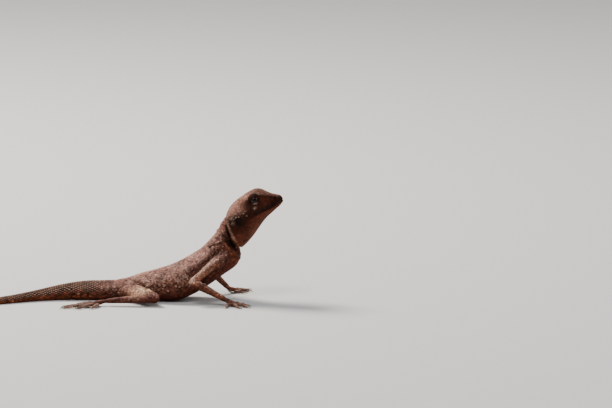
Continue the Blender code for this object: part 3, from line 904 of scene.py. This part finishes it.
def place_scales(skin, fields):
    """Roots of all scales: staggered rows along the lengths, and an even scatter where rows don't reach."""
    placed = [skin.tree.find_nearest(spot)[0] for spot in SPINE_SPOTS]
    for field in fields:
        if field.region not in ("head", "paw"):
            found = [skin.tree.find_nearest(spot) for spot in lattice(field)]
            placed += [place for place, _, _, away in found if away < ROW_REACH]
    placed = np.array([tuple(place) for place in placed + mouth_rows(skin)])
    scatter = np.random.default_rng(7).permutation(len(skin.points))
    roots = np.concatenate([placed, skin.points[scatter]])
    nearest = np.concatenate([skin.nearest_vertices(placed), scatter])
    fixed = np.arange(len(roots)) < len(placed)
    kept = thin_out(roots, skin.coat[nearest, 0], fixed, ~bare(roots, skin.part["lid"][nearest]))
    roots = even_out(skin, roots[kept], nearest[kept], fixed[kept])
    return roots, skin.nearest_vertices(roots)


def scale_shapes(skin, roots, nearest, chosen, tall, sides, domed):
    """Points, triangles, quads, colour weights and flat outline of the chosen scales.

    Each scale fills its cell among its neighbours, follows the curve of the skin, and lifts its free edge.
    Where tall isn't nothing, it rises to a spine that leans the way the scales lie.
    """
    normal, lie = skin.normals[nearest[chosen]], skin.lie[nearest[chosen]]
    ahead = unit(lie - normal * (lie * normal).sum(axis=1, keepdims=True))
    across = np.cross(normal, ahead)
    spacing, longer, lift, keel, dome = skin.coat[nearest[chosen]].T[:, :, None]
    apart = roots[neighbours(roots, chosen, BOUNDING)] - roots[chosen][:, None]
    flat_ahead, flat_across, height = ((apart * way[:, None]).sum(axis=2) for way in (ahead, across, normal))
    square = flat_ahead**2 + flat_across**2 + height**2
    cos, sin = np.cos(turns(sides)), np.sin(turns(sides))
    along = flat_ahead[..., None] * cos + flat_across[..., None] * sin
    reach = np.where(along > 1e-4, square[..., None] / (2 * np.maximum(along, 1e-4)), 1e3)
    first = reach.argmin(axis=1)
    radius = np.take_along_axis(reach, first[:, None], axis=1)[:, 0]
    radius = np.minimum(radius, 0.62 * spacing * longer)
    drop = np.clip(np.take_along_axis(height / square, first, axis=1), -0.45 / spacing, 0.45 / spacing)
    radius = radius * 0.95 * (1 + np.clip(lift * 2.2, 0.0, 0.5) * np.maximum(cos, 0) ** 1.5)
    slope = radius * cos / spacing
    edge = spacing * (lift * (0.42 + slope) - 0.02) + drop * radius**2

    def at(size, rise, lean=0.0):
        flat = ahead[:, None] * (size * cos + lean)[..., None] + across[:, None] * (size * sin)[..., None]
        return roots[chosen][:, None] + flat + normal[:, None] * rise[..., None]

    ridge, tip = np.abs(cos) ** 6, np.maximum(cos, 0) ** 8
    rings = [at(radius * 0.9, edge - 0.3 * spacing), at(radius, edge + spacing * keel * 0.7 * tip)]
    weights = [0 * radius, 0.35 * tip + 0 * radius]
    if domed:
        inner = np.where(tall > 0, 0.45, 0.55)
        lifted = lift * (0.42 + inner * slope) + dome * 0.8 + keel * ridge
        rise = spacing * lifted + drop * (radius * inner) ** 2
        rings.append(at(radius * inner, rise + 0.5 * tall, 0.2 * tall))
        weights.append(0.5 + 0.5 * ridge + 0 * radius)
    top = roots[chosen] + normal * (spacing * (lift * 0.42 + dome + keel) + tall) + ahead * 0.75 * tall
    points = np.concatenate(rings + [top[:, None]], axis=1)
    weight = np.concatenate(weights + [np.ones((len(chosen), 1))], axis=1)
    outline = [share * np.column_stack([cos, sin]) for share in (0.9, 1.0, 0.5)[: len(rings)]]
    size = points.shape[1]
    rim = np.arange(size - 1 - sides, size - 1)
    fan = np.column_stack([rim, np.roll(rim, -1), np.full(sides, size - 1)])
    first_vertex = (np.arange(len(chosen)) * size)[:, None, None]
    shapes = fan, ring_quads(0, len(rings), sides)
    tris, quads = ((shape + first_vertex).reshape(-1, shape.shape[1]) for shape in shapes)
    return points, tris, quads, weight, np.vstack(outline + [(0, 0)])


def bulk_mesh(name, points, tris, quads):
    """An object from arrays of points in millimetres, triangles and quads, and the vertex at each corner."""
    mesh = bpy.data.meshes.new(name)
    points = points.reshape(-1, 3)
    points[:, 2] = np.maximum(points[:, 2], SCALES_OFF_FLOOR)
    mesh.vertices.add(len(points))
    fill(mesh.vertices, "co", points * MM)
    corners = np.concatenate([tris.ravel(), quads.ravel()]).astype(np.int32)
    starts = np.concatenate([np.arange(len(tris)) * 3, tris.size + np.arange(len(quads)) * 4])
    mesh.loops.add(len(corners))
    mesh.loops.foreach_set("vertex_index", corners)
    mesh.polygons.add(len(starts))
    mesh.polygons.foreach_set("loop_start", starts.astype(np.int32))
    mesh.update(calc_edges=True)
    mesh.shade_smooth()
    mesh.set_sharp_from_angle(angle=math.radians(SHARP_EDGE))
    return linked(name, mesh), corners


# Markings

# These hues hold painted light as well as the animal's colours: all are warmed by painted reddish bounce
# light; face, throat, belly, forearm and shank are partly painted shade; spine and thigh are partly painted
# light from above; lore is painted light on the shaded face; dark is the colour of painted shade.
HUES = {
    "spine": (0.38, 0.19, 0.15),
    "flank": (0.128, 0.046, 0.030),
    "belly": (0.078, 0.017, 0.008),
    "crown": (0.38, 0.17, 0.122),
    "face": (0.038, 0.007, 0.003),
    "lore": (0.092, 0.02, 0.008),
    "throat": (0.108, 0.026, 0.012),
    "arm": (0.28, 0.11, 0.066),
    "forearm": (0.14, 0.042, 0.023),
    "thigh": (0.84, 0.47, 0.31),
    "shank": (0.09, 0.026, 0.019),
    "tail": (0.116, 0.027, 0.013),
    "pale": (0.66, 0.45, 0.34),
    "rust": (0.25, 0.065, 0.026),
    "dark": (0.012, 0.005, 0.003),
}
# Hues that are darker or lighter kinds of others. The ear's is the tympanum's own dark together with painted
# shade in its hollow, tail below is painted shade, and hood rim is a painted highlight.
KINDS = {
    "snout": ("crown", 0.72),
    "between brows": ("crown", 0.42),
    "nape": ("spine", 0.9),
    "ear": ("dark", 1.6),
    "hood rim": ("thigh", 0.5),
    "blush": ("rust", 1.6),
    "tail below": ("rust", 0.62),
    "lid": ("pale", 0.75),
    "digit": ("pale", 0.8),
}
HUES = {name: np.array(hue) for name, hue in HUES.items()}
HUES.update({name: HUES[source] * part for name, (source, part) in KINDS.items()})

# A pale patch on each hip, the darker hollow behind it that is painted shade, a pale elbow that is a painted
# highlight, the thigh, partly painted light, and the roots of arm and leg: x, distance from the midline, z
# and reach
HIP_PATCH = (0.6, 8.6, 9.4, 3.0)
HIP_HOLLOW = (-4.5, 8.2, 9.4, 4.5)
ELBOW = (21.6, 17.0, 12.4, 3.4)
THIGH = (-3.0, 11.5, 6.5, 11.0)
ROOTS = [(37.2, 7.9, 21.2, 6.5), (-7.0, 4.0, 6.0, 9.0)]
NECK_LEAN = math.radians(40.0)
# The deep shade behind the hood and that along the upper edge of the arm, as lines of (x, z), and their width
NECK_SHADE = ([(37.8, 31.6), (39.4, 29.2), (41.2, 26.8), (42.4, 25.6)], 1.15)
ARM_SHADE = ([(34.6, 24.4), (28.0, 19.4), (21.2, 14.4)], 1.2)
# Distance between the blotches of the back, and between the dark rings of the tail
BLOTCH_STEP = 9.5
TAIL_RING_STEP = 11.0
# Share of the scales that are pale flecks, by region
FLECKS = {"trunk": 0.38, "tail": 0.08, "limb": 0.08, "paw": 0.03}


def over(base, *layers):
    """A base colour with hues laid over it in turn, each with its strength at every point."""
    for hue, part in layers:
        base = mix(base, HUES[hue], part)
    return base


def cloud(points, size, seed=0.0):
    """Soft noise from -1 to 1 with patches of about the given size."""
    return np.array([noise.noise(Vector(point) / size + Vector((seed, 0, 0))) for point in points])


def near_to(points, place):
    """One close to a place on either side of the body, falling to nothing at its reach."""
    *centre, reach = place
    away = np.linalg.norm(points * (1, 0, 1) + np.abs(points) * (0, 1, 0) - centre, axis=1)
    return ease(reach, 0.45 * reach, away)


def shade_along(points, shade):
    """One on both flanks along a line of shade."""
    line, width = shade
    return bell(distance_to_line(points, line), width) * on_flank(points)


def trunk_colours(points, up):
    """Reddish belly, brown flanks and a lavender-grey back with faint rusty blotches in cross rows. The
    back's lightness and the dark red of the belly and lower neck are partly painted light from above and
    painted shade below; the hollow behind the hip holds painted shade, and lines of painted shade lie behind
    the hood and along the arm.
    """
    out = np.abs(points[:, 1])
    rows = 0.5 + 0.5 * np.cos(points[:, 0] * 2 * math.pi / BLOTCH_STEP + 0.6)
    forward = points[:, 0] * math.cos(NECK_LEAN) + points[:, 2] * math.sin(NECK_LEAN)
    return over(
        HUES["belly"],
        # Darker and redder towards the belly, lighter on the back: partly the animal's colours, partly
        # painted shade below and painted light from above.
        ("flank", ease(-0.75, 0.0, up)),
        ("spine", ease(0.0, 0.8, up)),
        ("rust", 0.42 * rows**3 * ease(0.35, 0.7, up) * ease(0.8, 2.0, out) * ease(6.5, 4.0, out)),
        # Painted shade with a reddish bounce-light tint under the neck.
        ("throat", 0.55 * ease(40.0, 46.0, forward) * ease(0.95, 0.35, up)),
        # Painted shade in the hollow behind the hip.
        ("flank", 0.45 * near_to(points, HIP_HOLLOW)),
        ("pale", 0.7 * near_to(points, HIP_PATCH) * ease(-0.1, 0.3, cloud(points, 1.1, 2.0))),
        ("dark", 0.6 * shade_along(points, ARM_SHADE)),
        ("dark", 0.8 * shade_along(points, NECK_SHADE)),
    )


def head_colours(points):
    """Pinkish crown, dark face, reddish lore, darker mouth band, brown throat and a pale cheek spot. The
    face's darkness is partly painted shade, the lore's reddish patch is painted light, the mouth band is
    painted shade, the throat is painted shade tinted by reddish bounce light, the ear's surround is partly
    painted shade, and the pale lines on the brow ridge and the hood's rim are painted highlights.
    """
    forward, out, up = in_head_frame(points)
    over_mouth = up - mouth_level(forward)
    # Painted highlight along the brow ridge.
    ridge = bell(out - 5.5, 0.9) * ease(8.5, 10.5, forward) * ease(17.5, 15.0, forward)
    crown = over(
        HUES["crown"],
        ("snout", ease(12.5, 17.0, forward)),
        ("between brows", 0.75 * ease(5.3, 4.1, out) * ease(6.0, 9.0, forward)),
        ("pale", 0.3 * ridge),
    )
    brow = 7.0 - 0.63 * np.maximum(forward - 13.5, 0)
    band = ease(2.4, 1.0, over_mouth) * ease(0.5, 0.0, -over_mouth)
    ear = np.hypot((forward - EAR_CUP[0][0]) / 3.6, (up - EAR_CUP[0][2]) / 4.2)
    rim = ease(-4.85, -5.3, forward) * ease(6.0, 3.0, up)
    return over(
        # The face below the brow is darker partly as painted shade.
        mix(HUES["face"], crown, ease(-0.8, 0.5, up - brow)),
        ("crown", ease(7.5, 1.5, forward) * ease(0.5, 5.0, up)),
        # Painted light: a lit reddish patch on the lore.
        ("lore", 0.85 * bell(forward - 14.4, 2.0) * bell(up - 3.2, 1.6)),
        # Painted shade with a reddish bounce-light tint on the lower jaw and throat.
        ("throat", ease(0.0, 0.6, -over_mouth) * ease(2.0, 7.0, forward)),
        ("throat", ease(-3.5, -8.0, up)),
        # Painted shade over the upper lip and lores.
        ("dark", 0.75 * band * ease(6.0, 9.0, forward) * ease(22.0, 19.0, forward)),
        # The ear darker: the tympanum's own dark and painted shade in its hollow.
        ("ear", 0.65 * ease(1.15, 0.4, ear)),
        # Painted highlight along the hood's rim.
        ("hood rim", 0.75 * rim * (0.75 + 0.5 * cloud(points, 1.8, 3.0))),
        ("pale", bell(forward - 9.2, 0.6) * bell(up - 2.0, 0.45)),
        ("nape", 0.6 * ease(-2.0, -5.0, forward) * ease(1.0, 4.0, up)),
    )


def limb_colours(points, up, trunk):
    """Brown arms, pale warm thighs and greyer shanks, all melting into the trunk where they leave it. The
    forearms, shanks and undersides are darker partly as painted shade, the thighs and tops lighter partly as
    painted light from above, and the arm's upper edge and elbow carry painted highlights.
    """
    # Darker forearms and shanks, partly painted shade.
    forearm = ease(12.0, 8.5, points[:, 2])
    behind = ease(14.0, 10.0, points[:, 0])
    above = over(HUES["arm"], ("forearm", 0.8 * forearm), ("shank", behind))
    # Painted highlights on the elbow and along the arm's upper edge.
    elbow = 0.55 * near_to(points, ELBOW) * ease(-0.3, 0.4, up)
    edge = np.maximum(0.5 * ease(0.55, 0.95, up) * (1 - forearm), elbow)
    thigh = near_to(points, THIGH) * ease(-0.5, 0.2, up)
    limb = over(
        # The undersides darker and the tops lighter, partly painted shade and painted light.
        mix(HUES["belly"], above, ease(-0.8, 0.1, up)),
        ("spine", 0.5 * ease(0.35, 0.95, up)),
        ("pale", edge * (1 - behind)),
        # The pale thigh is partly painted light.
        ("thigh", 0.9 * thigh),
        ("blush", 0.3 * thigh * ease(0.05, 0.4, cloud(points, 3.2, 9.0))),
    )
    return mix(limb, trunk, np.maximum(*(near_to(points, root) for root in ROOTS)))


def tail_colours(up, share, trunk):
    """Dark brown above a reddish underside that is partly painted shade, with darker rings, melting into the
    trunk at the root.
    """
    rings = 0.5 + 0.5 * np.cos(share * TAIL_LENGTH * 2 * math.pi / TAIL_RING_STEP)
    # The darker reddish underside is partly painted shade.
    tail = over(HUES["tail below"], ("tail", ease(-0.5, 0.3, up)), ("nape", 0.28 * ease(0.2, 0.95, up)))
    tail = tail * (1.05 - 0.2 * ease(0.2, 0.9, share) - 0.25 * rings**3)[:, None]
    return mix(tail, trunk, 0.92 * ease(0.19, 0.0, share))


def hide_colours(skin):
    """The colour of the hide at every vertex of the skin, painted light and shade included."""
    up, points, shares = skin.up, skin.points, skin.shares
    forward, _, height = in_head_frame(points)
    trunk = trunk_colours(points, up)
    limb = limb_colours(points, up, trunk)
    parts = {
        "trunk": trunk,
        "tail": tail_colours(up, skin.share * skin.part["tail"], trunk),
        "head": head_colours(points),
        "limb": limb,
        "paw": limb,
        "digit": over(limb, ("digit", np.full(len(points), 0.35))),
        "lid": over(HUES["face"], ("lid", ease(4.6, 3.2, height) * ease(12.0, 10.0, forward))),
    }
    total = sum(colours * shares[name][:, None] for name, colours in parts.items())
    mottling = 0.8 - 0.4 * (shares["head"] + shares["limb"])
    total *= (1 + 0.45 * cloud(points, 5.0) + mottling * cloud(points, 1.5, 4.0))[:, None]
    # Painted shade in the folds, darker where they are deeper.
    total *= (1 - 0.85 * skin.fold)[:, None]
    # Painted shade: the bare ear cups, nostrils and eye sockets are painted near black.
    total[bare(points, skin.part["lid"])] = HUES["dark"]
    return total


def paint(obj, colours):
    """Stores a colour at every vertex under the name that the hide material reads."""
    rgba = np.column_stack([np.clip(colours, 0, 1), np.ones(len(colours))])
    fill(obj.data.attributes.new("hide", "FLOAT_COLOR", "POINT").data, "color", rgba)


def unwrap(skin, nearest):
    """A place for every root on an unwrap of the skin: one cell for each length of the body."""
    number = skin.number[nearest]
    large = (number < 3)[:, None]
    small = np.maximum(number - 3, 0)
    large_corner = np.stack([number % 3 / 3, np.full(len(number), 0.4)], axis=1)
    corner = np.where(large, large_corner, np.stack([small % 8 / 8, small // 8 / 4 * 0.38], axis=1))
    size = np.where(large, (1 / 3, 0.58), (1 / 8, 0.38 / 4))
    return corner + size * (0.03 + 0.94 * np.stack([skin.share[nearest], skin.around[nearest]], axis=1))


def scale_tones(skin, hide, roots, nearest):
    """The colour of every scale, and how much of the pale hue its tip has."""
    rng = np.random.default_rng(11)
    part = {name: held[nearest] for name, held in skin.part.items()}
    shares = {name: values[nearest] for name, values in skin.shares.items()}
    share, up = skin.share[nearest], skin.up[nearest]
    tone = np.exp(rng.normal(0, 1, len(roots)) * (0.36 - 0.18 * shares["head"]))
    fleck = rng.random(len(roots))
    often = sum(shares[name] * flecks for name, flecks in FLECKS.items())
    often += (FLECKS["trunk"] - FLECKS["tail"]) * part["tail"] * ease(0.12, 0.0, share)
    often *= ease(-0.5, 0.1, up) * (0.45 + 1.1 * ease(-0.15, 0.3, cloud(roots, 2.6, 6.0)))
    shoulder = ease(0.74, 0.82, share) * shares["trunk"]
    often *= 1 - 0.7 * shoulder * ease(0.75, 0.45, up)
    grains = nape(roots) * part["head"]
    often += 0.4 * grains + 0.2 * skin.neck_crest[nearest]
    # No pale flecks in the painted shade of the folds, behind the hood and along the arm.
    for shade in (skin.fold[nearest], shade_along(roots, NECK_SHADE), shade_along(roots, ARM_SHADE)):
        often *= 1 - ease(0.1, 0.4, shade)
    strength = 0.15 + 0.5 * rng.random(len(roots)) ** 1.5
    strength *= 1 - 0.45 * (1 - shares["trunk"]) * (1 - grains) - 0.35 * shoulder
    pale = np.maximum(np.where(fleck < often, strength, 0.0), 0.4 * spine_heights(roots) / SPINE_HEIGHT)
    return hide[nearest] * tone[:, None], pale


def coat_pieces(skin, nearest):
    """Which scales each piece of the coat holds, and the slot of its finish."""
    trunk, tail, head, limb, paw, digit, lid = (held[nearest] for held in skin.part.values())
    upper = skin.up[nearest] > 0.1
    fore = skin.points[nearest, 0] > 12.0
    return {
        "scales_back": (trunk & upper, "back"),
        "scales_belly": (trunk & ~upper, "back"),
        "scales_tail": (tail, "tail"),
        "scales_head": (head | lid, "head"),
        "scales_arms": (limb & fore, "limb"),
        "scales_legs": (limb & ~fore, "limb"),
        "scales_feet": (paw | digit, "limb"),
    }


# Materials

def plug(tree, node, inputs):
    """Sets a node's inputs to values, or links them to other nodes."""
    for key, value in inputs.items():
        if isinstance(value, bpy.types.NodeSocket):
            tree.links.new(value, node.inputs[key])
        else:
            node.inputs[key].default_value = value


def add_node(tree, kind, inputs, **settings):
    node = tree.nodes.new("ShaderNode" + kind)
    for key, value in settings.items():
        setattr(node, key, value)
    plug(tree, node, inputs)
    return node


def painted(tree, name):
    """What is stored at the vertices under a name."""
    return add_node(tree, "Attribute", {}, attribute_name=name, attribute_type="GEOMETRY")


def speckles(tree, *kinds):
    """Noises that are fixed to the object, each with its scale, detail and roughness."""
    place, made = add_node(tree, "TexCoord", {}).outputs["Object"], []
    for scale, detail, roughness in kinds:
        inputs = {"Vector": place, "Scale": scale, "Detail": detail, "Roughness": roughness}
        made.append(add_node(tree, "TexNoise", inputs).outputs["Fac"])
    return made


def map_range(tree, value, source, target):
    keys = ("Value", "From Min", "From Max", "To Min", "To Max")
    return add_node(tree, "MapRange", dict(zip(keys, (value, *source, *target)))).outputs["Result"]


def colour_mix(tree, factor, first, second, blend_type="MIX"):
    node = add_node(tree, "Mix", {}, data_type="RGBA", blend_type=blend_type)
    plug(tree, node, {"Factor": factor, "A": first, "B": second})
    return node.outputs["Result"]


def colour_ramp(tree, value, stops):
    """Colours at places from 0 to 1."""
    node = add_node(tree, "ValToRGB", {"Fac": value})
    elements = node.color_ramp.elements
    elements[0].position, elements[1].position = stops[0][0], stops[-1][0]
    elements[0].color, elements[1].color = (*stops[0][1], 1), (*stops[-1][1], 1)
    for position, colour in stops[1:-1]:
        elements.new(position).color = (*colour, 1)
    return node.outputs["Color"]


def new_material(name):
    made = bpy.data.materials.new(name)
    made.use_nodes = True
    return made, made.node_tree, made.node_tree.nodes["Principled BSDF"]


def make_hide_material():
    """Hide: the painted markings together with painted light and shade, broken up by fine grain and dust,
    with a horny sheen.
    """
    made, tree, shader = new_material("hide")
    grain, patches = speckles(tree, (2600.0, 5.0, 0.65), (420.0, 3.0, 0.5))
    grain_tone = map_range(tree, grain, (0.3, 0.7), (0.72, 1.22))
    toned = colour_mix(tree, 1.0, painted(tree, "hide").outputs["Color"], grain_tone, "MULTIPLY")
    dust = map_range(tree, patches, (0.48, 0.75), (0.0, 0.06))
    bump = add_node(tree, "Bump", {"Strength": 0.35, "Distance": 0.00006, "Height": grain})
    plug(tree, shader, {
        "Base Color": colour_mix(tree, dust, toned, (0.38, 0.18, 0.1, 1)),
        "Roughness": map_range(tree, patches, (0.0, 1.0), (0.46, 0.76)),
        "Normal": bump.outputs["Normal"],
        "Specular IOR Level": 0.08,
    })
    return made


def make_claw_material():
    made, tree, shader = new_material("claw horn")
    streaks = speckles(tree, (900.0, 3.0, 0.5))[0]
    horn = colour_ramp(tree, streaks, [(0.0, (0.05, 0.03, 0.02)), (1.0, (0.42, 0.31, 0.22))])
    plug(tree, shader, {"Base Color": horn, "Roughness": 0.32})
    return made


# Colours of the eye from the middle of the pupil outwards, as shares of its polar angle
EYE_COLOURS = [
    (0.0, (0.002, 0.0015, 0.0015)),
    (0.19, (0.002, 0.0015, 0.0015)),
    (0.205, (0.05, 0.022, 0.009)),
    (0.23, (0.03, 0.013, 0.006)),
    (0.5, (0.018, 0.008, 0.005)),
    (0.9, (0.016, 0.009, 0.006)),
]


def make_eye_material():
    """Eye: pupil, a thin gold ring, a dark brown iris and the dark white of the eye, under a wet coat."""
    made, tree, shader = new_material("eye")
    fibres = speckles(tree, (3500.0, 4.0, 0.5))[0]
    inputs = {0: fibres, 1: 0.05, 2: painted(tree, "polar").outputs["Fac"]}
    wander = add_node(tree, "Math", inputs, operation="MULTIPLY_ADD")
    plug(tree, shader, {
        "Base Color": colour_ramp(tree, wander.outputs["Value"], EYE_COLOURS),
        "Roughness": 0.3,
        "Specular IOR Level": 0.0,
        "Coat Weight": 1.0,
        "Coat Roughness": 0.03,
        "Coat IOR": 1.3,
    })
    return made


# The pieces

FLESH_NODES = ["torso", "neck", "head", "tail_base", "tail_middle", "tail_tip"] + [
    f"{side}_{name}" for side, _ in SIDES for name in (*ARM_SIZES, *LEG_SIZES)
]


def finish_piece(obj, material):
    obj.data.materials.append(material)
    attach(obj, "root")


def make_skin(fields, material):
    """The one skin with its lids, and the colour of the hide at each of its vertices."""
    flesh = make_flesh(fields)
    corners = np.empty(len(flesh.data.loops), np.int32)
    flesh.data.loops.foreach_get("vertex_index", corners)
    faces = corners.reshape(-1, 4)
    points, fold = shape_flesh(flesh, edges_of(faces))
    bpy.data.objects.remove(flesh)
    flesh_tree = BVHTree.FromPolygons(points.tolist(), faces.tolist())
    for sign in (1, -1):
        rings = lid_rings(sign, flesh_tree)
        quads = ring_quads(len(points), *rings.shape[:2])
        points = np.concatenate([points, rings.reshape(-1, 3)])
        faces = np.concatenate([faces, quads[:, ::sign]])
    skin = Skin(points, faces, fields, fold)
    obj = new_object("skin", points, faces.tolist())
    hide = hide_colours(skin)
    paint(obj, hide * np.where(bare(points, skin.part["lid"]), 1.0, 0.55)[:, None])
    finish_piece(obj, material)
    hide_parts(*FLESH_NODES)
    return skin, hide


def make_coat(skin, hide, fields, material):
    """All the scales, in one object for each part of the body."""
    roots, nearest = place_scales(skin, fields)
    base, pale = scale_tones(skin, hide, roots, nearest)
    tall = spine_heights(roots)
    spots = unwrap(skin, nearest)
    for name, (held, slot) in coat_pieces(skin, nearest).items():
        chosen = np.nonzero(held)[0]
        domed = name != "scales_feet"
        sides = 10 if domed else 8
        shapes = scale_shapes(skin, roots, nearest, chosen, tall[chosen][:, None], sides, domed)
        points, tris, quads, weight, outline = shapes
        obj, corners = bulk_mesh(name, points, tris, quads)
        # Painted shade at each scale's edge and a painted highlight on its keel and tip.
        shade = 0.5 + 0.45 * ease(0.0, 0.35, weight) + 0.4 * ease(0.7, 1.0, weight)
        colours = base[chosen][:, None] * shade[..., None]
        bright = pale[chosen][:, None] * (0.4 + 0.6 * ease(0.0, 0.6, weight))
        # Pale dots on the keels of the tail's upper side: partly the keels' own pale colour, partly painted
        # glints; the rest of each upper scale is darker.
        if name == "scales_tail":
            at = nearest[chosen]
            above = (ease(-0.15, 0.5, skin.up[at]) * ease(0.0, 0.1, skin.share[at]))[:, None]
            dot = ease(0.5, 0.95, weight) * (outline[:, 0] > -0.1) * above
            bright = np.maximum(bright, dot * (0.8 + 0.5 * cloud(roots[chosen], 0.7, 5.0))[:, None])
            colours *= (1 - 0.5 * above * (1 - dot))[..., None]
        colours = colours * (1 - bright[..., None]) + HUES["pale"] * bright[..., None]
        paint(obj, colours.reshape(-1, 3))
        flat = spots[chosen][:, None] + outline * SCALE_ON_UNWRAP
        fill(obj.data.uv_layers.new(name="OFBake").data, "uv", flat.reshape(-1, 2)[corners])
        finish_piece(obj, material)


def make_eye(side, sign, material):
    polar, turn = np.linspace(0.0, math.pi, 42)[1:-1], turns(48)
    radius = EYE_RADIUS - 0.03 + 0.07 * ease(0.75, 0.0, polar)
    rings = on_eye(sign, polar[:, None], turn[None], radius[:, None])
    obj = joined(f"{side}_eyeball", [Field("head", rings)])
    values = np.repeat(polar / math.pi * 1.6, len(turn))
    fill(obj.data.attributes.new("polar", "FLOAT", "POINT").data, "value", values)
    finish_piece(obj, material)
    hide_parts(f"{side}_eye")


def make_claws():
    """One curved claw of horn at the end of every digit."""
    claws = [
        Field("digit", digit_rings(CLAW, base, heading, length, CLAW_LENGTH, radius, 14, 12))
        for sign, joints, _, digits, radius in LIMBS
        for base, heading, length in digit_places(joints, digits, radius, sign)
    ]
    finish_piece(joined("claws", claws), make_claw_material())


# Stage, lights and camera, in metres

FLOOR_SIZE = 12.0
LIT_PLACE = Vector((0.02, 0.0, 0.02))
# Name, place, size, power and colour
LIGHTS = [
    ("key", (-0.6, 0.55, 1.0), 0.45, 25.0, (1.0, 0.95, 0.88)),
    ("fill", (-0.25, -0.7, 1.25), 0.4, 6.0, (0.96, 0.98, 1.0)),
    ("side", (1.2, -0.2, 0.9), 0.5, 3.0, (1, 1, 1)),
]


def make_stage():
    bpy.ops.mesh.primitive_plane_add(size=FLOOR_SIZE)
    floor = bpy.context.object
    floor.name = "floor"
    made, tree, shader = new_material("floor")
    plug(tree, shader, {"Base Color": (0.78, 0.76, 0.73, 1), "Roughness": 0.9})
    floor.data.materials.append(made)


def make_lights():
    for name, place, size, power, colour in LIGHTS:
        data = bpy.data.lights.new(name, "AREA")
        data.size = size
        data.energy = power
        data.color = colour
        lamp = linked(name, data)
        lamp.location = place
        lamp.rotation_euler = (LIT_PLACE - Vector(place)).to_track_quat("-Z", "Y").to_euler()
    world = bpy.data.worlds.new("studio")
    world.use_nodes = True
    background = world.node_tree.nodes["Background"]
    plug(world.node_tree, background, {"Color": (0.9, 0.93, 1.0, 1), "Strength": 0.32})
    bpy.context.scene.world = world


def make_camera():
    """A long lens at the photograph's height, placed so that the origin falls on its pixel."""
    focal_pixels = LENS / SENSOR * PHOTO_SIZE[0]
    distance = focal_pixels / PIXELS_PER_MM
    right = (PHOTO_SIZE[0] / 2 - ORIGIN_PIXEL[0]) / PIXELS_PER_MM
    above = (ORIGIN_PIXEL[1] - PHOTO_SIZE[1] / 2) / PIXELS_PER_MM
    sin, cos = math.sin(LOOK_DOWN), math.cos(LOOK_DOWN)
    data = bpy.data.cameras.new("camera")
    data.lens = LENS
    data.sensor_width = SENSOR
    data.clip_end = 50.0
    camera = linked("camera", data)
    camera.location = (right * MM, (-distance * cos + above * sin) * MM, (distance * sin + above * cos) * MM)
    camera.rotation_euler = (math.pi / 2 - LOOK_DOWN, 0, 0)
    bpy.context.scene.camera = camera


hide_material, eye_material = make_hide_material(), make_eye_material()
body_fields = make_fields()
agama_skin, agama_hide = make_skin(body_fields, hide_material)
make_coat(agama_skin, agama_hide, body_fields, hide_material)
for eye_side, eye_sign in SIDES:
    make_eye(eye_side, eye_sign, eye_material)
make_claws()
make_stage()
make_lights()
make_camera()
